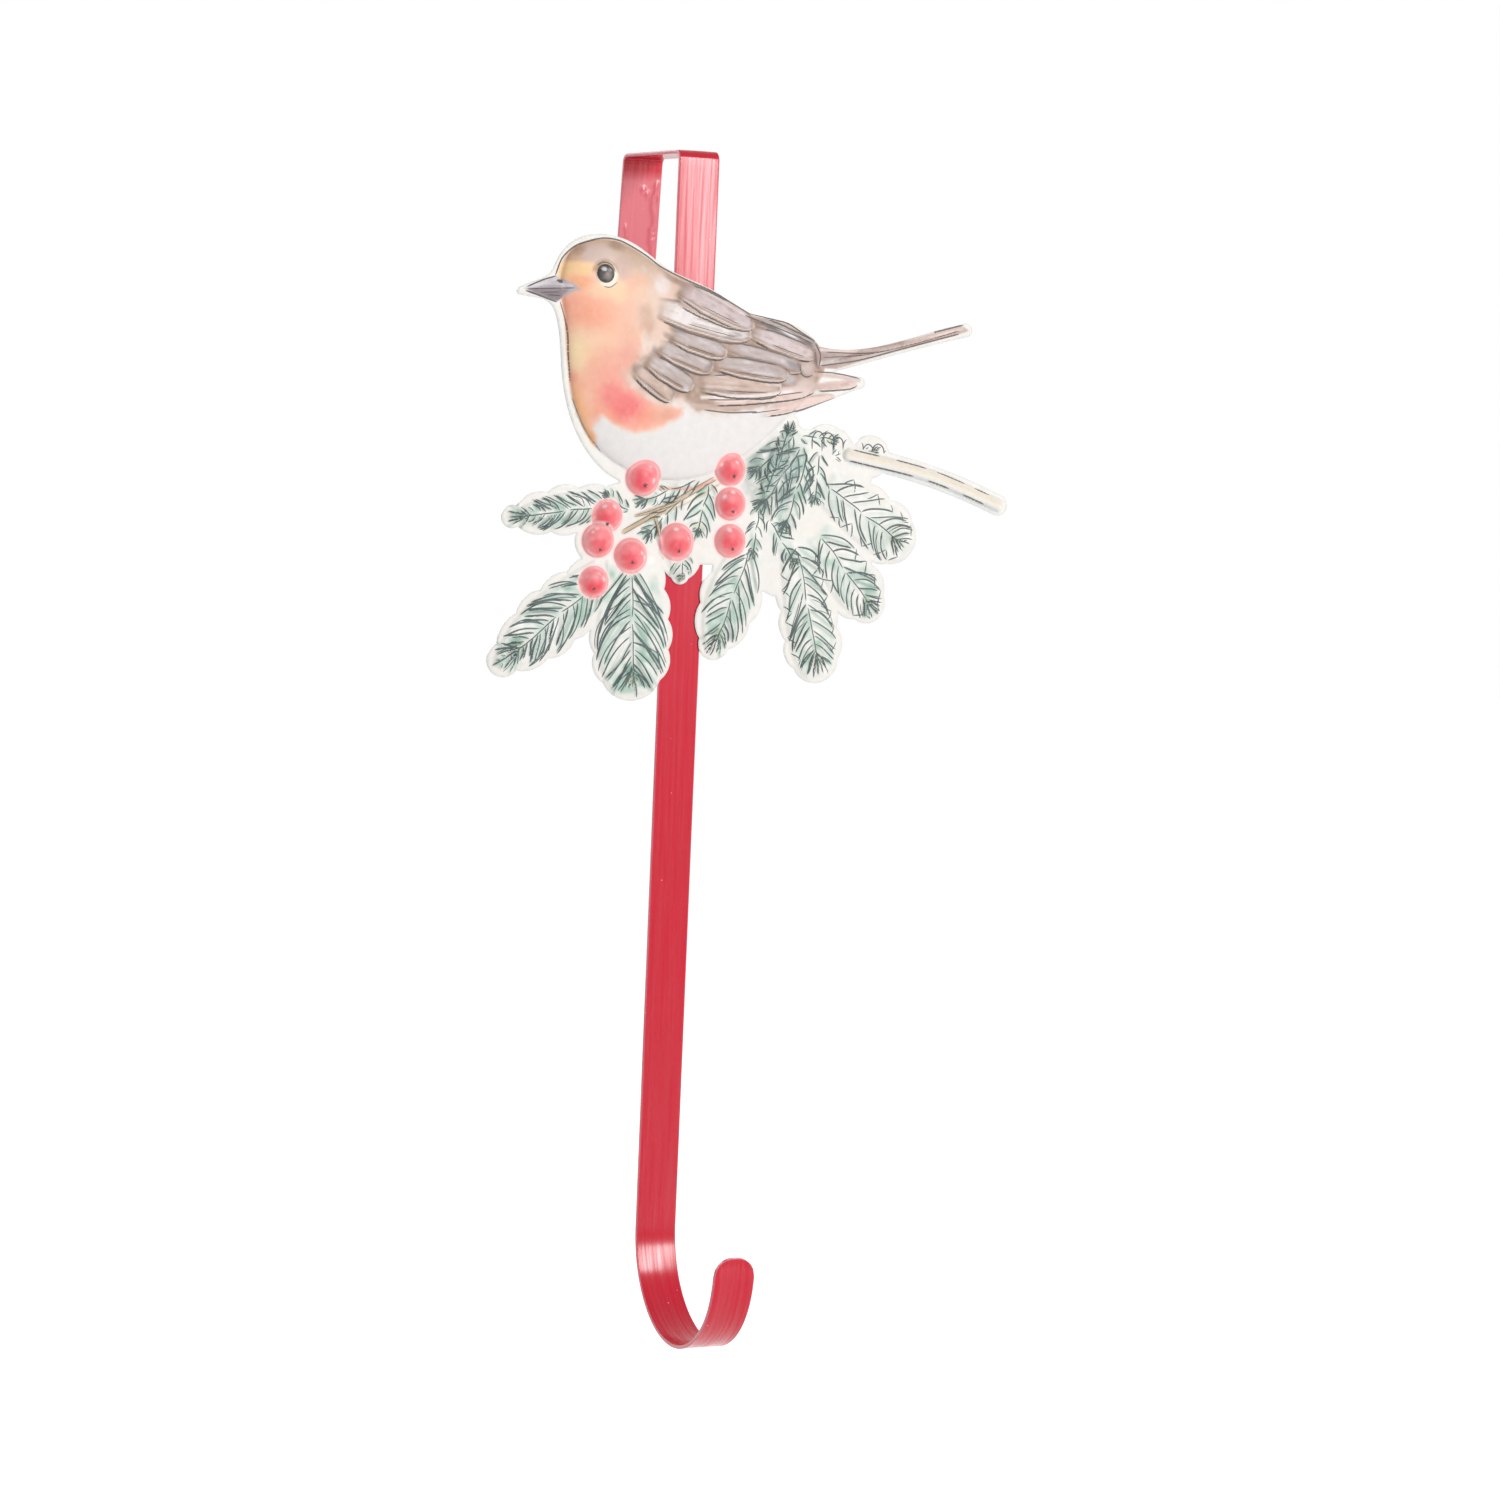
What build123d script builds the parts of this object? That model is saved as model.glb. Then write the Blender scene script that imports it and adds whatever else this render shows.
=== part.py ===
"""Wreath hanger: a bent steel strip that hooks over a door and carries a pressed tin robin plaque.

Millimetres. The origin is the middle of the underside of the bar that rests on the door.
+Z is up, -Y is the front of the door and +X is to the viewer's right.
"""

import os
from math import cos, pi, sin

from build123d import *

# Strip
strip_width = 14.0
strip_thickness = 1.2
door_gap = 45.7
bend_radius = 2.0
back_leg_length = 60.0
back_leg_flare = 4.7
hook_drop = 353.2
hook_radius = 31.3
hook_sweep = 186.0
end_flat = 1.2
edge_break = 0.25

# Two sizes that differ by less than this share count as equal
same_size = 0.01

# Plaque sheet, how far down the strip it hangs and its plain rim
sheet_thickness = 0.6
plaque_drop = 100.0
rim_width = 2.2
rim_wave = 0.7
rim_wave_pitch = 11.0

# Relief, measured from the front of the sheet or from the form it stands on
body_height = 5.0
feather_height = 0.9
feather_tilt = 10.0
berry_height = 2.7
midrib_height = 1.3
midrib_width = 2.6
needle_height = 0.8
needle_width = 1.7
needle_pitch = 4.6
needle_lean = 36.0
needle_gap = 0.35
needle_shortest = 3.0
needle_reach = 0.16
needle_widest = 0.4
beak_height = 2.6
tail_height = 1.8
stem_height = 1.5
stem_round = 4.4
twig_height = 1.2
eye_diameter = 6.4
eye_height = 1.2

# Solder in the corner between each edge of the strip and the back of the plaque
solder_leg = 2.4
solder_waist = 0.42
solder_length = 11.0
solder_level = -12.0

# Plaque drawing, across and up from the point on the strip's centre line at plaque_drop
back_line = [(-60.6, 54.6), (-56.0, 56.6), (-51.6, 58.8), (-48.1, 65.0), (-41.3, 71.0), (-31.3, 72.5),
             (-21.3, 69.7), (-10.0, 62.7), (6.3, 56.5), (20.0, 49.6), (33.0, 47.3), (45.6, 39.7)]
tail_top_line = [(45.6, 39.7), (60.0, 39.4), (78.8, 43.7), (99.2, 49.5)]
tail_end = (102.0, 47.3)
tail_bottom_line = [(99.4, 44.9), (78.8, 39.5), (62.0, 34.7), (51.0, 31.5)]
wing_top_end = (60.8, 30.3)
wing_end = (62.8, 28.3)
wing_bottom_line = [(60.4, 26.3), (50.0, 22.2), (38.1, 17.5)]
belly_line = [(38.1, 17.5), (25.0, 5.0), (5.0, -6.3), (-10.0, -7.5), (-22.5, -6.9), (-33.8, 0.6),
              (-42.3, 15.0), (-45.6, 30.0), (-47.5, 44.0), (-51.0, 50.2), (-56.0, 51.4), (-60.4, 52.0)]
beak_end = (-61.9, 53.3)

# Raised body inside the rim, and the point that its contour lines shrink towards
body_line = [(-47.0, 57.5), (-44.0, 66.4), (-37.5, 70.2), (-29.0, 70.3), (-20.0, 66.8), (-8.0, 60.0),
             (6.0, 54.2), (20.0, 47.6), (34.0, 44.6), (44.0, 38.0), (44.0, 27.0), (34.0, 15.5),
             (20.0, 3.5), (4.0, -4.2), (-12.0, -5.2), (-25.0, -1.0), (-35.0, 7.0), (-41.0, 18.0),
             (-43.4, 31.0), (-45.0, 45.0)]
body_centre = (-12.0, 29.0)
body_contours = 5

# Wing feathers: root, tip and half width
feathers = [
    ((-9.0, 56.5), (20.0, 45.5), 3.6),
    ((-19.0, 50.5), (16.0, 42.5), 3.4),
    ((-12.5, 39.5), (9.0, 35.5), 2.6),
    ((-14.5, 36.5), (4.5, 30.0), 2.3),
    ((-18.0, 32.5), (0.0, 25.0), 2.3),
    ((-22.5, 28.5), (-8.0, 20.0), 2.2),
    ((9.0, 37.5), (38.5, 33.0), 2.5),
    ((6.5, 33.5), (33.0, 29.8), 2.3),
    ((2.0, 27.0), (36.0, 28.0), 2.6),
    ((2.0, 19.0), (42.0, 25.5), 1.8),
    ((20.0, 46.0), (42.0, 38.5), 1.7),
]

# Eye: its place on the head and its level as a share of the body's height
eye_place = (-33.0, 60.0)
eye_level = 0.62

# Hollows behind the raised forms, as shares of those forms
hollow_share = 0.97
hollow_depth = 0.66
hollow_sides = 12
hollow_taper = 40.0

# Crests with a sharp ridge line: root, tip, half width and where it is widest
beak_crest = ((-42.0, 54.3), (-59.8, 53.4), 3.4, 0.3)
tail_crest = ((48.0, 34.1), (100.2, 47.3), 1.6, 0.25)
wing_tip_crest = ((33.0, 23.0), (61.0, 28.6), 2.0, 0.4)
twigs = [((-22.0, -23.0), (15.0, -2.0), 1.3, 0.4), ((-11.0, -18.0), (-7.5, -31.0), 1.1, 0.4)]

# Fir fronds: root, tip, half width, where it is widest and how blunt its tip is
fronds = [
    ((-26.0, -14.0), (-64.3, -19.3), 7.6, 0.45, 1.6),
    ((-27.0, -36.5), (-66.3, -68.4), 11.0, 0.5, 1.6),
    ((-19.0, -32.0), (-16.5, -78.0), 14.0, 0.55, 2.2),
    ((-1.0, -25.0), (-1.2, -39.6), 6.4, 0.4, 1.8),
    ((23.0, -28.0), (10.0, -64.0), 10.8, 0.45, 1.7),
    ((40.0, -26.0), (51.0, -71.5), 10.3, 0.65, 2.4),
    ((48.0, -22.0), (71.5, -50.0), 10.0, 0.55, 2.0),
    ((50.0, -6.0), (83.0, -27.5), 10.5, 0.6, 2.6),
    ((28.0, -10.0), (37.5, 16.8), 5.4, 0.45, 1.7),
]
frond_root = 0.75
last_scallop = 0.86

# Sheet between the fronds, the round tufts beside the stem and the stem itself
sprig_ground = [(-36.5, -24.0), (-28.0, -8.0), (0.0, 0.0), (20.0, 8.0), (35.5, 16.5), (41.0, 12.5),
                (56.0, 12.5), (67.0, 0.0), (66.0, -28.8), (52.0, -43.0), (32.5, -43.0), (10.0, -33.0),
                (-7.0, -33.0), (-31.0, -48.5), (-37.0, -29.0)]
tufts = [((49.5, 6.0), 8.4), ((66.0, 4.0), 7.2)]
stem_line = [(58.0, 4.4), (88.0, -1.6), (114.8, -10.9)]
stem_width = 7.2

# Berries: centre and diameter
berries = [
    ((-16.0, -5.2), 12.0), ((15.0, -1.6), 11.0), ((15.6, -12.8), 11.0), ((16.0, -25.0), 11.2),
    ((-3.2, -25.7), 12.5), ((-19.2, -30.5), 11.7), ((-28.0, -17.8), 11.0), ((-30.8, -25.8), 11.3),
    ((-31.9, -39.2), 10.5),
]


def strip():
    """The whole strip: one side profile of even thickness, carried across the width."""
    half_gap = door_gap / 2
    back_corner = Vector(half_gap, 0)
    front_corner = Vector(-half_gap, 0)
    back_end = back_corner + Vector(0, -back_leg_length).rotate(Axis.Z, back_leg_flare)
    hook_start = Vector(-half_gap, -hook_drop)
    outer_radius = hook_radius + strip_thickness
    hook_centre = hook_start - Vector(outer_radius, 0)
    legs = FilletPolyline(back_end, back_corner, front_corner, hook_start, radius=bend_radius)
    hook = CenterArc(hook_centre, outer_radius, 0, -hook_sweep)
    door_side = Wire(legs.edges() + hook.edges())
    band = offset(door_side, strip_thickness, side=Side.RIGHT, closed=True)
    profile = Plane.YZ * make_face(band.edges())
    bar = extrude(profile, strip_width / 2, both=True)
    end_area = strip_width * strip_thickness
    ends = bar.faces().filter_by(lambda face: abs(face.area / end_area - 1) < same_size)
    end_thickness = strip_thickness * (1 + same_size)
    corners = [edge for end in ends for edge in end.edges() if edge.length < end_thickness]
    bar = fillet(corners, (strip_width - end_flat) / 2)
    sides = bar.faces().filter_by(Axis.X)
    rims = [edge for side in sides for edge in side.edges() if edge.length > end_thickness]
    return chamfer(rims, edge_break)


def frond_half_width(share, half_width, widest, bluntness):
    """Half the width of a frond at a share of its length: it swells from the root, then rounds off."""
    swell = frond_root + (1 - frond_root) * sin(pi / 2 * min(1, share / widest))
    past = max(0, (share - widest) / (1 - widest))
    return half_width * swell * (1 - past ** bluntness) ** (1 / bluntness)


def frond_outline(root, tip, *form):
    """Die-cut edge of one frond: a blunt leaf with a scalloped rim."""
    base = Vector(*root)
    reach = Vector(*tip) - base
    side = reach.normalized().rotate(Axis.Z, 90)
    scallops = max(1, round(reach.length * last_scallop / rim_wave_pitch))

    def rim_point(step, hand):
        share = last_scallop * step / (2 * scallops)
        wave = rim_wave if step % 2 else -rim_wave
        return base + reach * share + side * hand * (frond_half_width(share, *form) + wave)

    edges = [Line(rim_point(0, 1), rim_point(0, -1))]
    for hand in (1, -1):
        points = [rim_point(step, hand) for step in range(2 * scallops + 1)]
        edges += [ThreePointArc(*points[i:i + 3]) for i in range(0, 2 * scallops, 2)]
    edges.append(ThreePointArc(rim_point(2 * scallops, 1), base + reach, rim_point(2 * scallops, -1)))
    return make_face(edges)


def bird_outline():
    """Die-cut edge of the robin: back, tail, wing tip, belly and beak."""
    back = Spline(back_line)
    tail_top = Spline(tail_top_line)
    tail_cap = ThreePointArc(tail_top_line[-1], tail_end, tail_bottom_line[0])
    tail_bottom = Spline(tail_bottom_line)
    wing_top = Line(tail_bottom_line[-1], wing_top_end)
    wing_cap = ThreePointArc(wing_top_end, wing_end, wing_bottom_line[0])
    wing_bottom = Spline(wing_bottom_line)
    belly = Spline(belly_line)
    beak_cap = ThreePointArc(belly_line[-1], beak_end, back_line[0])
    upper = [back, tail_top, tail_cap, tail_bottom]
    lower = [wing_top, wing_cap, wing_bottom, belly, beak_cap]
    return make_face(upper + lower)


def plaque_outline():
    """The whole die-cut blank: robin, fronds, stem and the rims round the berries."""
    shapes = [bird_outline(), make_face(Polyline(*sprig_ground, close=True))]
    shapes += [frond_outline(*frond) for frond in fronds]
    shapes += [Pos(*centre) * Circle(radius) for centre, radius in tufts]
    shapes += [Pos(*centre) * Circle(diameter / 2 + rim_width) for centre, diameter in berries]
    shapes.append(SlotArc(ThreePointArc(*stem_line), stem_width))
    blank = Sketch()
    for shape in shapes:
        blank += shape
    return blank


def body_rings():
    """The body's outline at each contour: it shrinks towards its middle and rises as a quarter ellipse."""
    middle = Vector(*body_centre)
    for i in range(body_contours):
        turn = pi / 2 * i / body_contours
        ring = [middle + (Vector(*point) - middle) * cos(turn) for point in body_line]
        yield ring, body_height * sin(turn)


def body_dome():
    """The robin's swollen body."""
    return loft([Pos(0, 0, sheet_thickness + level) * make_face(Spline(ring, periodic=True))
                 for ring, level in body_rings()], ruled=True)


def body_hollow():
    """The hollow behind the body: the same contours with flat sides, one sheet thickness further back."""
    middle = Vector(*body_centre)
    contours = []
    for ring, level in body_rings():
        corners = [middle + (point - middle) * hollow_share for point in ring]
        contours.append(Pos(0, 0, level) * make_face(Polyline(*corners, close=True)))
    return loft(contours, ruled=True)


def kite(root, tip, half_width, widest):
    """A four-cornered leaf shape."""
    base = Vector(*root)
    reach = Vector(*tip) - base
    side = reach.normalized().rotate(Axis.Z, 90) * half_width
    waist = base + reach * widest
    return make_face(Polyline(base, waist + side, base + reach, waist - side, close=True))


def crest(root, tip, half_width, widest, height):
    """A pressed ridge that rises from its edges to a sharp line from root to tip."""
    foot = Pos(0, 0, sheet_thickness) * kite(root, tip, half_width, widest)
    top = Vector(*root) + (Vector(*tip) - Vector(*root)) * widest
    return loft([foot, Vertex(top.X, top.Y, sheet_thickness + height)])


def cap(centre, diameter, level, height):
    """The cap of a ball, turned on its side so that no pole of the ball lies in the cap."""
    radius = ((diameter / 2) ** 2 + height ** 2) / (2 * height)
    ball = Pos(*centre, level + height - radius) * Rot(90, 0, 0) * Sphere(radius)
    return split(ball, Plane.XY.offset(level), keep=Keep.TOP)


def berry(centre, diameter):
    """A berry: a cap that stands on the sheet."""
    return cap(centre, diameter, sheet_thickness, berry_height)


def berry_hollow(centre, diameter):
    """The punch mark behind a berry: a tapered pocket with flat sides."""
    mouth = RegularPolygon(diameter / 2 - 2 * sheet_thickness, hollow_sides)
    return Pos(*centre) * extrude(mouth, berry_height * hollow_depth, taper=hollow_taper)


def eye():
    """The eye: a small cap, half of it sunk in the side of the head."""
    level = sheet_thickness + body_height * eye_level
    return cap(eye_place, eye_diameter, level - eye_height, 2 * eye_height)


def stem():
    """The cut end of the sprig: a half-round bar along the stem line."""
    half = stem_round / 2
    radius = (half ** 2 + stem_height ** 2) / (2 * stem_height)
    path = Pos(0, 0, sheet_thickness + stem_height - radius) * ThreePointArc(*stem_line)
    bar = sweep(Plane(origin=path @ 0, z_dir=path % 0) * Circle(radius), path=path)
    return split(bar, Plane.XY.offset(sheet_thickness), keep=Keep.TOP)


def feather(body, root, tip, half_width):
    """One wing feather: two arcs seen from the front, with its lower edge standing off the body."""
    base = Vector(*root)
    end = Vector(*tip)
    side = (end - base).normalized().rotate(Axis.Z, 90) * half_width
    middle = (base + end) / 2
    outline = make_face([ThreePointArc(base, middle + side, end), ThreePointArc(end, middle - side, base)])
    hinge = Axis((middle.X, middle.Y, sheet_thickness + body_height), end - base)
    lifted = (Pos(0, 0, feather_height / 2) * body).rotate(hinge, -feather_tilt)
    return lifted & extrude(outline, sheet_thickness + 2 * body_height)


def midrib(root, tip, half_width, widest, _):
    """Where the midrib of a frond lies: it stops short of the rim."""
    reach = Vector(*tip) - Vector(*root)
    end = Vector(*root) + reach * (1 - rim_width / reach.length)
    return root, (end.X, end.Y), midrib_width / 2, widest


def needle_pair(share, root, tip, *form):
    """Where two needles lie that leave a frond's midrib at a share of its length."""
    base = Vector(*root)
    reach = Vector(*tip) - base
    ahead = reach.normalized()
    offset_from_rib = midrib_width / 2 + needle_gap
    room = frond_half_width(share + needle_reach, *form) - rim_width - offset_from_rib
    length = room / sin(needle_lean * pi / 180)
    pair = []
    for hand in (1, -1):
        start = base + reach * share + ahead.rotate(Axis.Z, 90 * hand) * offset_from_rib
        end = start + ahead.rotate(Axis.Z, needle_lean * hand) * length
        pair.append(((start.X, start.Y), (end.X, end.Y), needle_width / 2, needle_widest))
    return pair


def needles():
    """Every needle that has room of its own beside the robin, the berries, the twigs and its neighbours."""
    taken = [bird_outline(), SlotArc(ThreePointArc(*stem_line), stem_round)]
    taken += [Pos(*centre) * Circle(diameter / 2) for centre, diameter in berries]
    taken += [kite(*twig) for twig in twigs]
    taken += [kite(*midrib(*frond)) for frond in fronds]
    placed = []
    for frond in fronds:
        length = (Vector(*frond[1]) - Vector(*frond[0])).length
        pairs = int(length * (1 - needle_reach) / needle_pitch)
        for i in range(pairs):
            for place in needle_pair(i * needle_pitch / length, *frond):
                leaf = kite(*place)
                free = all(leaf.distance_to(other) > needle_gap for other in taken)
                if free and (Vector(*place[1]) - Vector(*place[0])).length > needle_shortest:
                    taken.append(leaf)
                    placed.append(place)
    return placed


def plaque():
    """The pressed sheet: the large forms are hollow behind, the small ones are struck from the front."""
    body = body_dome()
    beak = crest(*beak_crest, beak_height)
    relief = [
        [body, beak],
        [berry(*each) for each in berries],
        [eye(), stem(), crest(*tail_crest, tail_height), crest(*wing_tip_crest, tail_height)],
        [crest(*twig, twig_height) for twig in twigs],
        [feather(body, *each) for each in feathers],
        [crest(*midrib(*frond), midrib_height) for frond in fronds],
        [crest(*needle, needle_height) for needle in needles()],
    ]
    front = extrude(plaque_outline(), sheet_thickness)
    for forms in relief:
        front += forms
    front -= [body_hollow(), Pos(0, 0, -sheet_thickness) * beak]
    return front - [berry_hollow(*each) for each in berries]


def solder():
    """Two fillets of solder, one along each edge of the strip."""
    corner = strip_width / 2
    reach = strip_thickness - edge_break
    waist = (corner + solder_leg * solder_waist, reach * solder_waist)
    legs = Polyline((corner, reach), (corner, 0), (corner + solder_leg, 0))
    hollow = ThreePointArc(legs @ 1, waist, legs @ 0)
    section = make_face(legs.edges() + hollow.edges())
    level = solder_level - plaque_drop - solder_length / 2
    seam = Pos(0, strip_front, level) * extrude(section, solder_length)
    return seam + mirror(seam, Plane.YZ)


strip_front = -door_gap / 2 - strip_thickness
plaque_plane = Plane(origin=(0, strip_front, -plaque_drop), x_dir=(1, 0, 0), z_dir=(0, -1, 0))

os.makedirs("parts", exist_ok=True)
export_step(strip(), "parts/hanger_strip.step")
export_step(plaque_plane * plaque(), "parts/robin_plaque.step")
export_step(solder(), "parts/solder_seams.step")
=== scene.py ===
# %% [markdown]
# # A wreath hanger with a pressed tin robin
# The real thing is a strip of steel, bent over the top of a door and painted red, with a die-cut tin
# plaque soldered to its front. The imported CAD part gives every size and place. Here it gets its looks:
# smooth bends, runs of paint, pressed relief, watercolour print and pen lines.

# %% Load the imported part
import math

import bmesh
import bpy
import numpy as np
from mathutils import Matrix, Vector
from mathutils.bvhtree import BVHTree
from mathutils.geometry import delaunay_2d_cdt


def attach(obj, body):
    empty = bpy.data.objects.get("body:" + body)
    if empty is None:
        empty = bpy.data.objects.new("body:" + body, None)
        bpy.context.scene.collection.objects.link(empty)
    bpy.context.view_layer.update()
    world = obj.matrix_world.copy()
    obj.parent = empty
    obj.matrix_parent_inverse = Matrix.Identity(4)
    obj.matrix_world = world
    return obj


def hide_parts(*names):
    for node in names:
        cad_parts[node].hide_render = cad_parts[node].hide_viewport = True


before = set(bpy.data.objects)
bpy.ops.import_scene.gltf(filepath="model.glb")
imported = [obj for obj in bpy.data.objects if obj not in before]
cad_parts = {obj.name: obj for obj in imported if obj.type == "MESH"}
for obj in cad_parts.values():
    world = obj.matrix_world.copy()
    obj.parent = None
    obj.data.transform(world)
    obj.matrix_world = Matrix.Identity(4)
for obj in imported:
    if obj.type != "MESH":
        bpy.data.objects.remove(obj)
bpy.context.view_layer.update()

mm = 0.001
bpy.ops.object.select_all(action="DESELECT")
print("nodes:", sorted(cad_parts))

# %% [markdown]
# ## Camera
# The photograph was taken from the front left, a little above, with a long lens and a slightly tilted
# camera. A camera looks along its own -Z, so its matrix is built from its right, up and backward axes.

# %% Camera
camera_place = Vector((-0.53515, -1.24886, -0.06599))
camera_azimuth = math.radians(24.647)
camera_dip = math.radians(5.430)
camera_roll = math.radians(2.4456)
lens_length = 98.113
sensor_width = 36

ahead = Vector((math.sin(camera_azimuth) * math.cos(camera_dip),
                math.cos(camera_azimuth) * math.cos(camera_dip), -math.sin(camera_dip)))
level_right = Vector((math.cos(camera_azimuth), -math.sin(camera_azimuth), 0))
level_up = level_right.cross(ahead)
right = level_right * math.cos(camera_roll) + level_up * math.sin(camera_roll)
up = level_up * math.cos(camera_roll) - level_right * math.sin(camera_roll)
bpy.ops.object.camera_add()
camera = bpy.context.object
turned = Matrix((right, up, -ahead)).transposed().to_4x4()
camera.matrix_world = Matrix.Translation(camera_place) @ turned
camera.data.sensor_width = sensor_width
camera.data.lens = lens_length
bpy.context.scene.camera = camera
print("camera at", tuple(round(c, 3) for c in camera_place))

# %% [markdown]
# ## Node helpers
# Every finish below is a node tree. A small helper adds a node and sets or links its inputs, so that a
# material reads as a list of what it is made of. Colours are written as they look on a screen, from 0 to
# 255, and turned into the linear values that shaders use.

# %% Node helpers
def tint(red, green, blue):
    """A screen colour as linear values."""
    part = np.array([red, green, blue]) / 255
    return np.where(part < 0.04045, part / 12.92, ((part + 0.055) / 1.055) ** 2.4)


def plug(tree, made, **inputs):
    """Sets a node's inputs, by name or by _number. Each is a value, or another node's output to link."""
    for key, value in inputs.items():
        socket = made.inputs[int(key[1:])] if key[0] == "_" else made.inputs[key.replace("_", " ")]
        if isinstance(value, bpy.types.NodeSocket):
            tree.links.new(value, socket)
        elif socket.type == "RGBA":
            socket.default_value = (*value[:3], 1)
        else:
            socket.default_value = value


def node(tree, kind, settings=None, **inputs):
    """Adds a node and sets its inputs."""
    made = tree.nodes.new(kind)
    for key, value in (settings or {}).items():
        setattr(made, key, value)
    plug(tree, made, **inputs)
    return made


def finish(name):
    """A new material: its tree, its main shader and the piece's own coordinates."""
    material = bpy.data.materials.new(name)
    material.use_nodes = True
    tree = material.node_tree
    place = node(tree, "ShaderNodeTexCoord").outputs["Object"]
    return material, tree, tree.nodes["Principled BSDF"], place


print("node helper ready")

# %% [markdown]
# A few nodes come up in most finishes, so each gets a short name: a stretched value, a mix of two colours,
# noise, dots, stretched coordinates, an attribute of the mesh and a bump.

# %% Short names for common nodes
def between(tree, value, low, high, start=0.0, end=1.0):
    """Stretches a value from start..end to low..high."""
    return node(tree, "ShaderNodeMapRange", _0=value, _1=start, _2=end, _3=low, _4=high).outputs[0]


def mixed(tree, share, first, second, blend="MIX"):
    """Mixes two colours. Each is a linked colour or a fixed one."""
    return node(tree, "ShaderNodeMix", {"data_type": "RGBA", "blend_type": blend},
                _0=share, _6=first, _7=second).outputs[2]


def noise(tree, place, scale, detail=2.0, distortion=0.0):
    """Cloudy noise from 0 to 1."""
    return node(tree, "ShaderNodeTexNoise", Vector=place, Scale=scale, Detail=detail,
                Distortion=distortion).outputs["Fac"]


def dots(tree, place, scale, start, end):
    """A mask of small scattered dots: 0 beyond the distance start, 1 within the distance end."""
    gap = node(tree, "ShaderNodeTexVoronoi", Vector=place, Scale=scale).outputs["Distance"]
    return between(tree, gap, 0.0, 1.0, start, end)


def mapped(tree, place, scale, turn=0.0):
    """Coordinates stretched, and turned about the third axis."""
    return node(tree, "ShaderNodeMapping", Vector=place, Rotation=(0, 0, turn), Scale=scale).outputs["Vector"]


def kept(tree, name, output):
    """An attribute that the mesh carries."""
    return node(tree, "ShaderNodeAttribute", {"attribute_name": name}).outputs[output]


def bump(tree, height, strength, distance):
    """A bumped normal."""
    return node(tree, "ShaderNodeBump", Strength=strength, Distance=distance, Height=height).outputs[0]


print("short names ready")

# %% [markdown]
# ## Floor, backdrop and light
# The photograph has a plain white background. The world is white where the camera and reflections see
# it and dimmer as a lamp, so pale print doesn't wash out. One tall soft box at the front right gives the
# pale reflection on the upper strip and the bright band where the hook starts to bend. A large fill lamp
# behind keeps the back readable.

# %% Stage
floor_level = -0.72
ambient = 0.265
lamp_distance = 2.2
lamp_aim = -0.05
softbox_azimuth = math.radians(24.1)
softbox_height = math.radians(15)
softbox_size = (0.27, 1.14)
softbox_watts = 33.5
fill_azimuth = math.radians(200)
fill_height = math.radians(25)
fill_size = (1.6, 1.6)
fill_watts = 26
floor_size = 12
floor_glow = 0.8

world = bpy.data.worlds.new("studio")
world.use_nodes = True
bpy.context.scene.world = world
sky = world.node_tree


def seen_directly(tree):
    """1 for rays from the camera, in mirrors and through glass, 0 for light that only falls on things."""
    rays = node(tree, "ShaderNodeLightPath").outputs
    seen = rays["Is Camera Ray"]
    for other in ("Is Glossy Ray", "Is Transmission Ray"):
        seen = node(tree, "ShaderNodeMath", {"operation": "MAXIMUM"}, _0=seen, _1=rays[other]).outputs[0]
    return seen


plug(sky, sky.nodes["Background"], Color=(1, 1, 1), Strength=between(sky, seen_directly(sky), ambient, 1.0))

bpy.ops.mesh.primitive_plane_add(size=floor_size, location=(0, 0, floor_level))
floor = bpy.context.object
floor.name = "floor"
floor_white, tree, shader, place = finish("floor_white")
paper = mixed(tree, noise(tree, place, 1.5), tint(248, 248, 247), tint(252, 252, 252))
glow = mixed(tree, seen_directly(tree), (0, 0, 0), (1, 1, 1))
plug(tree, shader, Base_Color=paper, Roughness=0.9, Emission_Color=glow, Emission_Strength=floor_glow)
floor.data.materials.append(floor_white)


def soft_lamp(name, azimuth, elevation, size, watts):
    """A rectangular lamp that faces the part, at a bearing to the right of the front."""
    bpy.ops.object.light_add(type="AREA")
    lamp = bpy.context.object
    lamp.name = name
    lamp.data.shape = "RECTANGLE"
    lamp.data.size, lamp.data.size_y = size
    lamp.data.energy = watts
    toward = Vector((math.sin(azimuth) * math.cos(elevation), -math.cos(azimuth) * math.cos(elevation),
                     math.sin(elevation)))
    lamp.location = Vector((0, 0, lamp_aim)) + toward * lamp_distance
    lamp.rotation_euler = toward.to_track_quat("Z", "Y").to_euler()
    return lamp


softbox = soft_lamp("softbox", softbox_azimuth, softbox_height, softbox_size, softbox_watts)
soft_lamp("back_fill", fill_azimuth, fill_height, fill_size, fill_watts)
bpy.context.scene.view_settings.view_transform = "Standard"
print("soft box at", tuple(round(c, 2) for c in softbox.location))

# %% [markdown]
# ## Mottle, a shared effect
# Paint, print and tin all vary a little from place to place. One node group makes that: broad clouds and
# fine grain, mixed to a value from 0 to 1. Each material sets its own scale and sharpness.

# %% Mottle group
mottle_group = bpy.data.node_groups.new("mottle", "ShaderNodeTree")
for socket_name, socket_kind in (("Place", "NodeSocketVector"), ("Scale", "NodeSocketFloat"),
                                 ("Grain", "NodeSocketFloat")):
    mottle_group.interface.new_socket(socket_name, in_out="INPUT", socket_type=socket_kind)
mottle_group.interface.new_socket("Mottle", in_out="OUTPUT", socket_type="NodeSocketFloat")
given = node(mottle_group, "NodeGroupInput").outputs
broad = noise(mottle_group, given["Place"], given["Scale"], 5.0)
finer = node(mottle_group, "ShaderNodeMath", {"operation": "MULTIPLY"}, _0=given["Scale"], _1=9.0).outputs[0]
grain = noise(mottle_group, given["Place"], finer)
both = node(mottle_group, "ShaderNodeMix", {"data_type": "FLOAT"},
            _0=given["Grain"], _2=broad, _3=grain).outputs[0]
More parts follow.
